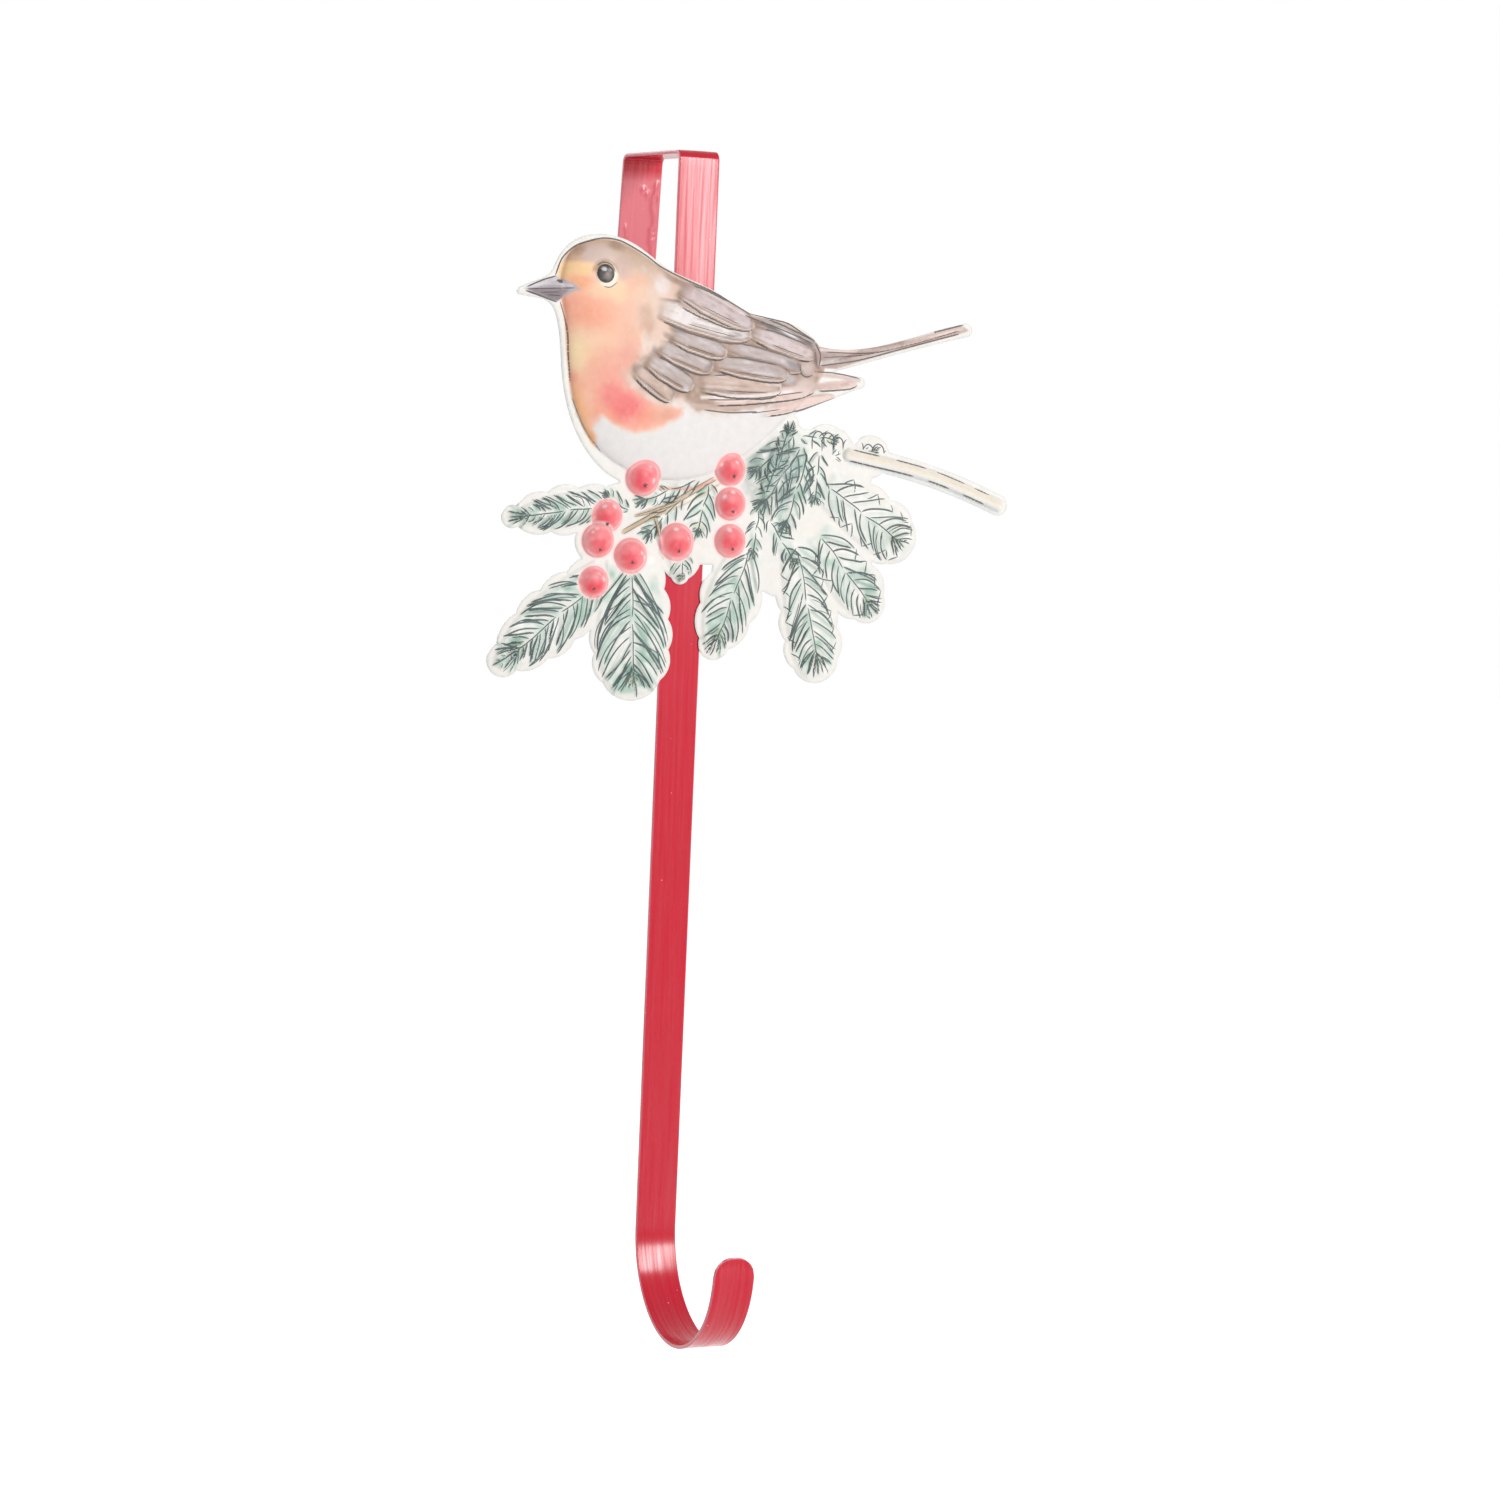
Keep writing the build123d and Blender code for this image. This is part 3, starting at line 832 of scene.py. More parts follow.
# %% [markdown]
# ## The plaque's mesh
# The cut-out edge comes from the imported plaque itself: the border of the flat faces on its back. Inside
# that edge the front gets a dense and even net of points, and the back a coarser one. A constrained
# Delaunay triangulation joins them without crossing the edge, and a narrow wall closes the rim. A grid
# cut by a boolean would leave slivers along such a wavy edge, so the net is triangulated instead.

# %% Read the cut-out edge
plaque_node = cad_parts["robin_plaque"]
shell = bmesh.new()
shell.from_mesh(plaque_node.data)
bmesh.ops.remove_doubles(shell, verts=shell.verts, dist=2e-6)
back_level = sheet_back * mm
level_slack = 3e-6
next_spot = {}
for edge in shell.edges:
    if len(edge.link_faces) != 2 or any(abs(v.co.y - back_level) > level_slack for v in edge.verts):
        continue
    flat_faces = [f for f in edge.link_faces
                  if all(abs(v.co.y - back_level) < level_slack for v in f.verts)]
    if len(flat_faces) == 1:
        a, b = (v.index for v in edge.verts)
        next_spot.setdefault(a, []).append(b)
        next_spot.setdefault(b, []).append(a)
shell.verts.ensure_lookup_table()
loops = []
unused = set(next_spot)
while unused:
    here = unused.pop()
    loop = [here]
    while True:
        onward = [n for n in next_spot[here] if n in unused]
        if not onward:
            break
        here = onward[0]
        unused.discard(here)
        loop.append(here)
    loops.append(loop)
longest = max(loops, key=len)
outline = np.array([(shell.verts[i].co.x / mm, shell.verts[i].co.z / mm + plaque_drop) for i in longest])
shell.free()
(x, y), (next_x, next_y) = outline.T, np.roll(outline, -1, axis=0).T
area = 0.5 * np.sum(x * next_y - next_x * y)
if area < 0:
    outline = outline[::-1]
edge_step = 0.6
rim = []
for a, b in zip(outline, np.roll(outline, -1, axis=0)):
    count = max(1, round(np.linalg.norm(b - a) / edge_step))
    rim += [a + (b - a) * i / count for i in range(count)]
rim = np.array(rim)
print("cut-out edge:", len(loops), "loop, area", round(abs(area)), "square mm,", len(rim), "points")

# %% [markdown]
# The net is a triangular lattice, cut row by row where it crosses the edge. A lattice blurs a printed edge
# by its own pitch, so the berries and the eye get rings of points of their own, a little inside and a
# little outside their edges.

# %% Nets of points
edge_wall = [(x, y, side) for x, y in rim for side in (-1, 1)]
edge_quads = [(i, i + 1, (i + 3) % len(edge_wall), (i + 2) % len(edge_wall))
              for i in range(0, len(edge_wall), 2)]
edge_tree = BVHTree.FromPolygons(edge_wall, edge_quads)


def edge_gap(spots):
    """Distance from each spot to the cut-out edge."""
    return np.array([edge_tree.find_nearest((x, y, 0))[3] for x, y in spots])


def net(pitch):
    """Evenly spread points inside the cut-out edge, row by row."""
    low, high = rim.min(0), rim.max(0)
    after = np.roll(rim, -1, axis=0)
    spots = []
    for number, y in enumerate(np.arange(low[1], high[1], pitch * math.sqrt(3) / 2)):
        spans = (rim[:, 1] > y) != (after[:, 1] > y)
        a, b = rim[spans], after[spans]
        crossings = np.sort(a[:, 0] + (y - a[:, 1]) * (b[:, 0] - a[:, 0]) / (b[:, 1] - a[:, 1]))
        x = np.arange(low[0] + (number % 2) * pitch / 2, high[0], pitch)
        x = x[np.searchsorted(crossings, x) % 2 == 1]
        spots.append(np.column_stack([x, np.full_like(x, y)]))
    spots = np.vstack(spots)
    return spots[edge_gap(spots) > 0.55 * min(pitch, edge_step)]


def ring(centre, radius, count):
    """Points round a circle, so that a printed edge there stays crisp."""
    turn = np.linspace(0, 2 * math.pi, count, endpoint=False)
    return np.array(centre) + radius * np.column_stack([np.cos(turn), np.sin(turn)])


def clear_of(spots, rings, gap):
    """Drops the points of a net that lie too near a crisp ring."""
    for centre, radius in rings:
        spots = spots[np.abs(np.hypot(*(spots - np.array(centre)).T) - radius) > gap]
    return spots


print("wall round the edge:", len(edge_quads), "faces")

# %% Triangulate front and back
def triangulated(spots):
    """The rim and the spots inside it, joined into triangles that all turn the same way."""
    points = [Vector(p) for p in np.vstack([rim, spots])]
    edges = [(i, (i + 1) % len(rim)) for i in range(len(rim))]
    found, _, faces, origin, _, _ = delaunay_2d_cdt(points, edges, [], 1, 1e-7)
    place = np.array([tuple(p) for p in found])
    number = {made: source[0] for made, source in enumerate(origin) if source}
    turned = []
    for face in faces:
        a, b, c = (place[i] for i in face)
        left = (b[0] - a[0]) * (c[1] - a[1]) - (c[0] - a[0]) * (b[1] - a[1])
        turned.append([number[i] for i in (face if left > 0 else face[::-1])])
    return np.vstack([rim, spots]), np.array(turned)


front_pitch = 0.5
back_pitch = 1.5
crisp_gap = 0.12
pupil_radius = 3.0
lid_radius = 4.0
lid_gap = 0.1
lid_shift = (0.6, -0.7)
lid_place = (eye_place[0] + lid_shift[0], eye_place[1] + lid_shift[1])
rings = [(centre, diameter / 2 + side * crisp_gap) for centre, diameter in berries for side in (-1, 1)]
rings += [(eye_place, pupil_radius + side * crisp_gap) for side in (-1, 1)]
rings += [(lid_place, lid_radius + side * lid_gap) for side in (-1, 1)]
crisp = np.vstack([ring(centre, radius, round(12 * radius)) for centre, radius in rings])
crisp = crisp[inside(crisp, rim) & (edge_gap(crisp) > 0.4)]
front_spots, front_faces = triangulated(np.vstack([clear_of(net(front_pitch), rings, 0.2), crisp]))
back_spots, back_faces = triangulated(net(back_pitch))
print("front:", len(front_faces), "triangles, back:", len(back_faces))

# %% [markdown]
# Every point now takes its height. Towards the cut edge the relief fades out and the edge itself is
# rounded over. The back is pressed less sharply than the front and never comes through it.

# %% Press the relief and close the rim
edge_round = 0.16
edge_fade = 0.5
least_thickness = 0.1
front_relief = relief_height(front_spots)
rim_distance = edge_gap(front_spots)
front_relief = front_relief * np.clip(rim_distance / edge_fade, 0, 1)
front_relief = front_relief - edge_round * np.clip(1 - rim_distance / edge_fade, 0, 1) ** 2
under_front = np.maximum(relief_height(back_spots) - least_thickness, 0)
back_relief = np.minimum(hollow_height(back_spots), under_front)
back_relief[:len(rim)] = 0


def raised(spots, level):
    """Spots of the drawing as points of the part."""
    return np.column_stack([spots[:, 0], level, spots[:, 1] - plaque_drop])


front_points = raised(front_spots, sheet_front - front_relief)
back_points = raised(back_spots, sheet_back - back_relief)
shift = len(front_points)
around = np.arange(len(rim))
following = np.roll(around, -1)
wall = np.column_stack([following, around, around + shift, following + shift])
faces = front_faces.tolist() + (back_faces[:, ::-1] + shift).tolist() + wall.tolist()
sheet = bpy.data.meshes.new("printed_plaque")
sheet.from_pydata((np.vstack([front_points, back_points]) * mm).tolist(), [], faces)
plaque = bpy.data.objects.new("printed_plaque", sheet)
bpy.context.scene.collection.objects.link(plaque)
print("plaque:", len(sheet.polygons), "faces")

# %% [markdown]
# ## The print
# The print is watercolour: soft washes that run into each other on a cream ground. Each wash is a mask,
# an outline or a soft spot, and a colour that is laid over what is there. The result is kept as a colour
# on every point of the front. Places measured on raised metal lie a little to the right of where they
# are on the flat drawing, so the washes are looked up with that shift.

# %% Laying washes
lean = 0.459  # shift to the right for each millimetre of height
drawing = front_spots.copy()
print_spots = drawing.copy()
print_spots[:, 0] += lean * body_dome(drawing)
paint = np.tile(tint(240, 237, 231), (len(drawing), 1))
pigment = cloud_noise(drawing, 1.4, 51)
blots = cloud_noise(drawing, 4.5, 52)


def lay(mask, colour, strength=1.0, where=slice(None)):
    """Lays a colour over the paint where the mask is, thinner and thicker as pigment settles."""
    settled = 1 + 0.22 * pigment[where] + 0.14 * blots[where]
    share = np.clip(mask * strength * settled, 0, 1)[:, None]
    paint[where] = paint[where] * (1 - share) + tint(*colour) * share


def spot(centre, size, turn=0, blur=0.5):
    """A soft oval spot of the print, blurred by a share of its size, with an uneven edge."""
    gap = print_spots - np.array(centre)
    turn = math.radians(turn)
    x = (gap[:, 0] * math.cos(turn) + gap[:, 1] * math.sin(turn)) / size[0]
    y = (gap[:, 1] * math.cos(turn) - gap[:, 0] * math.sin(turn)) / size[1]
    seed = int(abs(centre[0]) * 7 + abs(centre[1])) % 97
    uneven = 0.2 * cloud_noise(print_spots, 5, seed) + 0.14 * cloud_noise(print_spots, 1.7, seed + 1)
    return soft(np.sqrt(x * x + y * y) + uneven - 1, 2 * blur)


def brushed(line, width, blur=0.8, spots=None):
    """A brush line of that width with a blurred edge."""
    return soft(line_distance(print_spots if spots is None else spots, smooth_line(line)) - width / 2, blur)


def dab(mask, blur, spots):
    """Lays soft spots inside a mask, each as its centre, size, turn, colour and strength."""
    for centre, size, turn, colour, strength in spots:
        lay(mask * spot(centre, size, turn, blur), colour, strength)


uneven_ground = cloud_noise(drawing, 9, 5)
lay(np.clip(uneven_ground, 0, 1), (233, 231, 228), 0.5)
lay(np.clip(-uneven_ground, 0, 1), (244, 239, 229), 0.5)
# Painted shade: a grey line along the cut edge.
lay(soft(rim_distance - 0.45, 0.3), (226, 225, 223), 0.8)
print("ground laid on", len(paint), "points")

# %% Washes on the fronds
needle_greens = [(134, 170, 154), (110, 146, 134), (166, 200, 184)]
frond_rng = np.random.default_rng(23)
for frond, green in zip(fronds + inner_fronds, greenness):
    share, side, length = leaf_frame(drawing, *frond[:2])
    room = frond_half_width(np.clip(share, 0, 1), *frond[2:]) - rim_width * 1.2
    patchy = cloud_noise(drawing, 4.5, int(frond_rng.integers(1000)))
    leaf = soft(np.abs(side) - room + 1.4 * patchy, 2.4)
    leaf *= soft(-share * length - 0.5, 2) * soft((share - 0.95) * length + patchy, 2)
    lay(leaf * np.clip(0.5 + patchy, 0, 1), (203, 224, 212), 0.85 * green)
    lay(leaf * np.clip(patchy * 1.6 - 0.1, 0, 1), (156, 188, 170), 0.8 * green)
    lay(leaf * np.clip(-patchy * 2 - 0.45, 0, 1), (244, 243, 238), 0.85)
    glow = soft(np.hypot(side, (share - frond_rng.uniform(0.75, 0.9)) * length) - 1.5, 3)
    lay(leaf * glow, (232, 222, 170), 0.5)
    deep = soft(np.hypot(side * 0.8, (share - 0.8) * length * 0.7) - 2.5, 4)
    lay(leaf * deep * np.clip(0.5 + patchy, 0, 1), (104, 142, 116), 0.7 * green)
for group, green in zip(needles, greenness):
    for start, end, _ in group:
        low, high = np.minimum(start, end) - 2, np.maximum(start, end) + 2
        near = np.flatnonzero(((drawing > low) & (drawing < high)).all(1))
        if len(near) and frond_rng.uniform() < 0.7 * green:
            share, side, _ = leaf_frame(drawing[near], start, end)
            mark = soft(np.abs(side) - 0.45, 0.9) * soft(np.abs(share - 0.5) - 0.45, 0.2)
            lay(mark, needle_greens[frond_rng.integers(3)], 0.6, near)
thicket = soft(np.hypot((drawing[:, 0] - 31) / 11, (drawing[:, 1] + 3) / 13) - 1, 0.6)
thicket *= soft(-(body_share(drawing) - 1.0), 0.04)
lay(thicket * np.clip(0.55 + cloud_noise(drawing, 3, 8), 0, 1), (96, 128, 118), 0.7)
for start, end, width in twigs:
    line = np.array([start, end])
    lay(brushed(line, width * 1.1, 0.7, drawing), (212, 192, 158), 0.95)
    lay(brushed(line + (0.2, -width * 0.4), width * 0.3, 0.5, drawing), (170, 140, 108), 0.6)
lay(brushed([(14.0, -5.0), (0.0, -13.0), (-19.0, -21.0)], 0.7, 0.6, drawing), (206, 182, 146), 0.85)
lay(brushed([(-9.5, -8.5), (2.0, -8.0), (9.0, -5.0)], 1.0, 0.7, drawing), (222, 160, 140), 0.8)
lay(brushed(stem_line, 5.0, 1.2, drawing), (243, 240, 234))
lay(brushed(np.array(stem_line) + (0, 0.5), 1.2, 1.4, drawing), (228, 208, 174), 0.75)
lay(brushed(np.array(stem_line) + (0, -2.4), 1.4, 1.4, drawing), (216, 221, 222), 0.7)
print("fronds, twigs and stem painted")

# %% Washes on the robin
bird_line = [
    (-48.2, 57.5), (-46.4, 64), (-42, 68.6), (-33, 71.2), (-24, 69.5), (-12, 63), (6, 56.2), (20, 49.4),
    (33, 46.6), (46, 39.6), (47, 30), (38, 17.5), (25, 5.2), (5, -6), (-10, -6.4), (-21.4, -4.6),
    (-32, 2.6), (-40, 15.6), (-43.6, 30), (-45.4, 46),
]
bird = within(print_spots, smooth_line(bird_line, closed=True), 0.7)
lay(bird, (238, 234, 232))
belly_edge = [(31.3, 11), (25, 5.6), (11.3, -2.4), (5, -5.4), (-3.8, -6.4), (-12, -5.4)]
lay(bird * brushed(belly_edge, 1.2, 1.6), (216, 214, 204), 0.6)
back_band = [
    (-49, 58.5), (-44, 61.5), (-37, 63), (-30, 63.4), (-26, 58), (-22, 52), (-18, 46), (-16, 40),
    (0, 36), (47, 30), (60, 45), (20, 60), (-10, 72), (-34, 80), (-52, 72),
]
lay(bird * within(print_spots, back_band, 2.4, 1.2), (216, 188, 166))
breast_line = [
    (-50, 58), (-40, 62.5), (-31, 63), (-24, 58), (-18, 50), (-17, 42), (-19, 32), (-22, 26),
    (-12, 19.5), (-4, 18), (-3, 16), (-7, 13.5), (-12, 11), (-22, 10), (-31, 14.5), (-33.5, 10),
    (-32.5, 5), (-37, 5), (-44, 12), (-49, 30),
]
breast = within(print_spots, smooth_line(breast_line, closed=True), 2.6, 0.9) * bird
lay(breast, (255, 205, 178))
print("robin's body washed in")

# %% Washes on the breast and head
dab(breast, 0.85, [
    ((-36, 47.6), (12, 6), -6, (254, 172, 142), 0.9), ((-30, 40), (12, 6), 10, (254, 192, 162), 0.6),
    ((-34.5, 37.4), (9, 3.8), 0, (255, 216, 184), 0.85),
    ((-40, 33.4), (3.8, 6.4), 8, (255, 228, 182), 0.9), ((-32, 32), (6, 5), 0, (254, 208, 172), 0.6),
    ((-42, 26), (3, 2.6), 0, (244, 148, 136), 0.55), ((-37, 23.6), (5, 4.4), 0, (254, 188, 156), 0.7),
    ((-25, 24.5), (9.5, 7.5), -30, (248, 156, 144), 0.8),
    ((-21.6, 16.8), (8.4, 4.6), -12, (245, 114, 118), 0.85),
    ((-27, 20.6), (5, 3.4), -30, (247, 132, 126), 0.6), ((-12, 15.5), (7, 3), 12, (249, 168, 140), 0.8),
    ((-30, 13.5), (5.5, 3.2), -30, (248, 160, 132), 0.8),
    ((-39.5, 16), (2.6, 8.5), 22, (252, 186, 132), 0.85),
    ((-34.5, 7), (1.8, 4.4), 28, (246, 180, 122), 0.85), ((-21, 34), (4, 7), 8, (232, 160, 148), 0.6),
    ((-19.5, 45), (4, 6), 0, (236, 186, 158), 0.7), ((-27, 32), (6, 5), 0, (247, 172, 152), 0.45),
    ((-8, 15.2), (4.6, 2.8), 8, (234, 168, 146), 0.8),
])
dab(bird, 0.5, [
    ((-34, 70.5), (13, 3.4), 6, (212, 178, 156), 0.85),
    ((-34.5, 66.4), (8, 2.8), 4, (210, 184, 172), 0.9),
    ((-44, 65.6), (3.6, 3.6), 40, (212, 174, 146), 0.85),
    ((-24, 66), (6, 4), -32, (206, 178, 156), 0.85), ((-41, 67), (2.6, 1.8), 30, (160, 122, 100), 0.5),
    ((-28.5, 69), (3, 1.6), -14, (150, 116, 94), 0.5), ((-25.8, 61), (3.4, 5), 14, (206, 172, 158), 0.9),
    ((-20.6, 55.6), (4.6, 5), 0, (242, 186, 156), 0.85),
    ((-18, 52.6), (3.6, 4), 0, (242, 202, 176), 0.8),
    ((-42, 60.8), (6.4, 2.6), 4, (254, 212, 158), 0.95),
    ((-46.5, 60.2), (2.2, 3), 0, (248, 206, 156), 0.8),
    ((-40.5, 56.8), (5.2, 2.2), 0, (252, 180, 138), 0.85),
    ((-31, 55), (6, 2.8), 8, (254, 210, 170), 0.9), ((-26.5, 54), (3, 3.6), 0, (250, 206, 160), 0.7),
])
print("breast and head painted")

# %% [markdown]
# Each feather gets the same set of washes, laid in its own frame: a brown ground, its colour in the middle,
# streaks along it, a dark upper side and root, and a painted highlight along its pressed-up lower edge.

# %% Washes on the wing
wing_line = [
    (-14, 61.5), (-8, 60.5), (6, 55.5), (20, 49), (33, 46), (47, 39), (47, 30), (42, 24.5), (22, 19),
    (6, 17), (-3, 20), (-10, 18), (-18, 22), (-24, 27.5), (-20, 31), (-17, 38), (-20, 46), (-17, 51.5),
]
wing = within(print_spots, smooth_line(wing_line, closed=True), 6.0, 1.6) * bird
lay(wing, (230, 198, 180), 0.9)
plumage_line = [
    (-21, 30), (-14, 35), (-8, 40), (-8, 46), (-6, 55), (-2, 57.6), (8, 55), (20, 49.4), (33, 46.4),
    (46, 39.8), (47, 31), (41, 24.5), (24, 19), (4, 17.6), (-3, 22), (-9, 20), (-17, 25),
]
plumage = within(print_spots, smooth_line(plumage_line, closed=True), 3.0, 1.0) * bird
lay(plumage, (164, 136, 118), 0.9)
dab(wing, 0.5, [
    # Painted highlight: the pale spot between the nape and the shoulder.
    ((-11.5, 57.8), (2.8, 3.4), -20, (242, 228, 224), 0.8),
    ((-15.5, 53), (2.6, 4), 20, (236, 208, 188), 0.7),
    ((-17, 47.8), (2.4, 4.2), 8, (204, 160, 134), 0.65),
    ((-15, 44.6), (2.2, 2.4), 20, (206, 172, 146), 0.7),
    ((-17, 42), (2.4, 3.6), -8, (206, 158, 134), 0.65),
    ((-21.5, 33.8), (2.4, 2), 0, (222, 142, 112), 0.7),
    ((-5, 58.4), (7, 1.2), -24, (150, 126, 114), 0.7),
])
for number, (root, tip, half_width, colour) in enumerate(feathers):
    side, room, share = feather_across(drawing, root, tip, half_width)
    length = math.dist(root, tip)
    light = colour == rosy
    ground = 1 if light else bird
    on = soft((np.abs(side) - 1) * room, 0.6) * (room > 0.2) * ground
    on = on * soft((0.14 - share) * length, 0.24 * length)
    streaks = cloud_noise(np.column_stack([share * length / 5, side * room]), 0.9, 60 + number)
    lay(on, (220, 192, 180) if light else (150, 118, 98), 0.9)
    lean_up = 0.18 if colour in (cool, warm) else 0.06
    middle = soft((np.abs(side - lean_up) - 0.78 + lean_up) * room, 1.4)
    lay(on * (middle * soft((np.abs(share - 0.52) - 0.44) * length, 3)), colour, 0.95)
    lay(on * np.clip(streaks * 1.6 - 0.15, 0, 1), (140, 116, 104), 0.3 if light else 0.5)
    lay(on * np.clip(-streaks * 1.5 - 0.2, 0, 1), (222, 218, 222), 0.6)
    lay(on * soft(np.abs((side - 0.9) * room) - 0.3, 0.7), (112, 100, 98), 0.2 if light else 0.6)
    lay(on * soft((share - 0.12) * length, 4), (134, 106, 88), 0.2 if light else 0.4)
    # Painted highlight: a pale line along the pressed-up lower edge.
    lay(on * soft(np.abs((side + 0.84) * room) - 0.24, 0.45), (242, 228, 221), 0.85)
    lay(on * soft(np.abs(share - 0.985) * length - 0.3, 0.6), (236, 220, 212), 0.7)
for line, width, colour in (
        ([(4.0, 21.6), (20.0, 22.6), (36.0, 24.6)], 1.0, (246, 238, 235)),
        ([(1.0, 18.8), (12.0, 18.6), (24.0, 20.0)], 1.6, (208, 180, 168)),
        ([(44.0, 30.6), (52.0, 30.2), (60.5, 29.2)], 1.4, (206, 180, 172)),
        ([(38.0, 33.6), (39.4, 30.6), (42.0, 29.6)], 1.0, (104, 90, 84)),
        ([(44.4, 38.4), (44.0, 35.4), (45.4, 33.2)], 1.4, (112, 96, 90)),
        ([(34.0, 29.0), (37.0, 27.4)], 1.4, (122, 102, 92))):
    lay(brushed(line, width), colour, 0.8)
dab(bird, 0.8, [
    ((41.2, 32.4), (2.5, 2.3), 0, (214, 196, 192), 0.85),
    ((40.4, 26.8), (3.4, 2.2), 20, (226, 206, 200), 0.9),
    ((35, 28.6), (2.2, 1.5), 0, (206, 198, 200), 0.8),
    ((36.2, 33.2), (2.4, 0.9), -24, (120, 120, 128), 0.6),
    # The first spot on the next line is a painted highlight on the dark upper feather.
    ((34, 43.6), (4, 0.6), -24, (242, 238, 238), 0.9), ((29, 44.6), (6, 0.5), -23, (98, 94, 100), 0.7),
    ((40.5, 41), (3.4, 0.6), -26, (96, 90, 94), 0.7),
    ((-5, 42.8), (2.4, 0.8), -10, (112, 104, 102), 0.6),
    ((14, 41.8), (3.6, 0.6), 8, (120, 112, 110), 0.5), ((-8.6, 40.8), (1.8, 1), -30, (104, 90, 80), 0.6),
    ((-13.4, 36.4), (0.9, 1.5), 0, (92, 82, 78), 0.6), ((5.8, 31.4), (1.6, 1), 30, (96, 86, 82), 0.6),
])
print("wing painted")

# %% Washes on the tail
tail_line = [
    (44, 40), (52, 40.4), (62, 40.6), (78, 43.4), (98, 48.8), (100.6, 47.2), (96, 45.6), (78, 40.4),
    (62, 35.8), (52, 32.6), (45, 33),
]
tail = within(drawing, tail_line, 0.6)
lay(tail, (192, 164, 154))
lay(tail * spot((48.5, 36.2), (6.0, 3.4)), (156, 138, 134), 0.6)
for line, width, blur, colour in (
        ([(46, 38.6), (64, 39.2), (80, 42.6), (98, 47.8)], 0.9, 0.6, (232, 214, 206)),
        ([(46, 34.2), (60, 36.4), (74, 40)], 1.5, 1.0, (216, 204, 200))):
    lay(tail * brushed(line, width, blur, drawing), colour, 0.8)
lay(tail * np.clip(cloud_noise(drawing, 3, 77), 0, 1), (150, 124, 116), 0.5)
print("tail painted")

# %% Beak and eye
beak_line = [
    (-59.4, 54), (-53, 57), (-48.6, 58.4), (-42, 56.2), (-40, 54.6), (-44, 53), (-48.4, 50.2),
    (-53, 51.8),
]
beak = within(print_spots, beak_line, 0.7)
lay(beak, (196, 188, 192))
lower_beak_line = [(-59.4, 53.6), (-50, 54.4), (-44, 54.4), (-48.4, 50), (-53, 51.6)]
lay(beak * within(print_spots, lower_beak_line, 0.8), (150, 138, 142))
lay(beak * brushed([(-57.0, 54.8), (-50.0, 56.0), (-43.0, 55.6)], 0.8, 0.8), (226, 220, 226), 0.9)

eye_gap = np.hypot(*(drawing - np.array(eye_place)).T)
lay(soft(eye_gap - 4.6, 0.8) * soft(eye_place[1] + 0.5 - drawing[:, 1], 2), (176, 138, 106), 0.7)
lid_distance = np.hypot(*(drawing - np.array(eye_place) - lid_shift).T)
lay(soft(lid_distance - lid_radius, 0.3), (244, 220, 190), 0.6)
lay(soft(lid_distance - 3.4, 0.3), (250, 242, 228))
lay(soft(eye_gap - pupil_radius, 0.24), (60, 56, 56))
for centre, size, colour, strength in (
        ((-0.7, 1.4), (0.9, 0.6), (228, 228, 226), 0.9), ((0.5, -0.7), (1.5, 1.2), (140, 128, 122), 0.8),
        ((1.3, 1.1), (0.7, 0.6), (170, 160, 156), 0.8), ((-1.5, -0.2), (0.6, 1.0), (104, 94, 90), 0.7)):
    gap = (drawing - np.array(eye_place) - np.array(centre)) / np.array(size)
    lay(soft(np.hypot(*gap.T) - 1, 0.7), colour, strength)
print("beak and eye painted")

# %% Berries
berry_rng = np.random.default_rng(31)
for centre, diameter in berries:
    gap = drawing - np.array(centre)
    reach = np.hypot(*gap.T) / (diameter / 2)
    on = soft((reach - 1) * diameter / 2, 0.24)
    lay(soft((reach - 1) * diameter / 2 - 0.7, 0.8), (248, 226, 224), 0.7)
    lay(on, (249, 140, 145))
    uneven = cloud_noise(drawing, 3.0, int(berry_rng.integers(1000)))
    core = np.hypot(gap[:, 0] - berry_rng.uniform(-1, 0.6), gap[:, 1] + berry_rng.uniform(0, 1.4))
    core = core / (diameter / 2)
    lay(on * soft(core - 0.5 + 0.2 * uneven, 0.6), (238, 76, 90), 0.85)
    lay(on * soft(0.8 - reach + 0.12 * uneven, 0.3), (252, 174, 172), 0.75)
    lay(on * np.clip(uneven * 1.5 - 0.2, 0, 1), (247, 132, 134), 0.6)
    lay(on * soft(np.abs(reach - 0.86) - 0.05, 0.12) * np.clip(0.4 + uneven, 0, 1), (255, 226, 224), 0.8)
    # Painted highlights: two small white glints on each berry.
    for _ in range(2):
        turn, out = berry_rng.uniform(-0.4, 2.8), berry_rng.uniform(0.5, 0.8)
        shine = gap - np.array([math.cos(turn), math.sin(turn)]) * out * diameter / 2
        along_rim = shine @ np.array([-math.sin(turn), math.cos(turn)])
        outward = shine @ np.array([math.cos(turn), math.sin(turn)])
        size = berry_rng.uniform(0.5, 1.0)
        glint = soft(np.hypot(along_rim / 1.8, outward) - size * 0.5 + 0.2 * uneven, 0.5)
        lay(on * glint, (255, 238, 236), 0.75)
print(len(berries), "berries painted")

# %% Keep the print on the mesh
def pick(piece):
    """Makes a piece the active one and the only one selected."""
    bpy.ops.object.select_all(action="DESELECT")
    bpy.context.view_layer.objects.active = piece
    piece.select_set(True)


colours = np.ones((len(sheet.vertices), 4))
colours[:len(paint), :3] = np.clip(paint, 0, 1)
colours[len(paint):, :3] = tint(222, 222, 220)
attribute = sheet.color_attributes.new("paint", "FLOAT_COLOR", "POINT")
attribute.data.foreach_set("color", colours.ravel())
pick(plaque)
bpy.ops.object.shade_smooth_by_angle(angle=math.radians(50))
for polygon in sheet.polygons[len(front_faces):]:
    polygon.material_index = 1
print("colour kept on", len(sheet.vertices), "vertices")

# %% [markdown]
# The front is varnished print: the painted colour with a little paper-like grain and an even, half-matt
# gloss. The back was never printed, so it is bare tinned steel, dull and slightly cloudy.

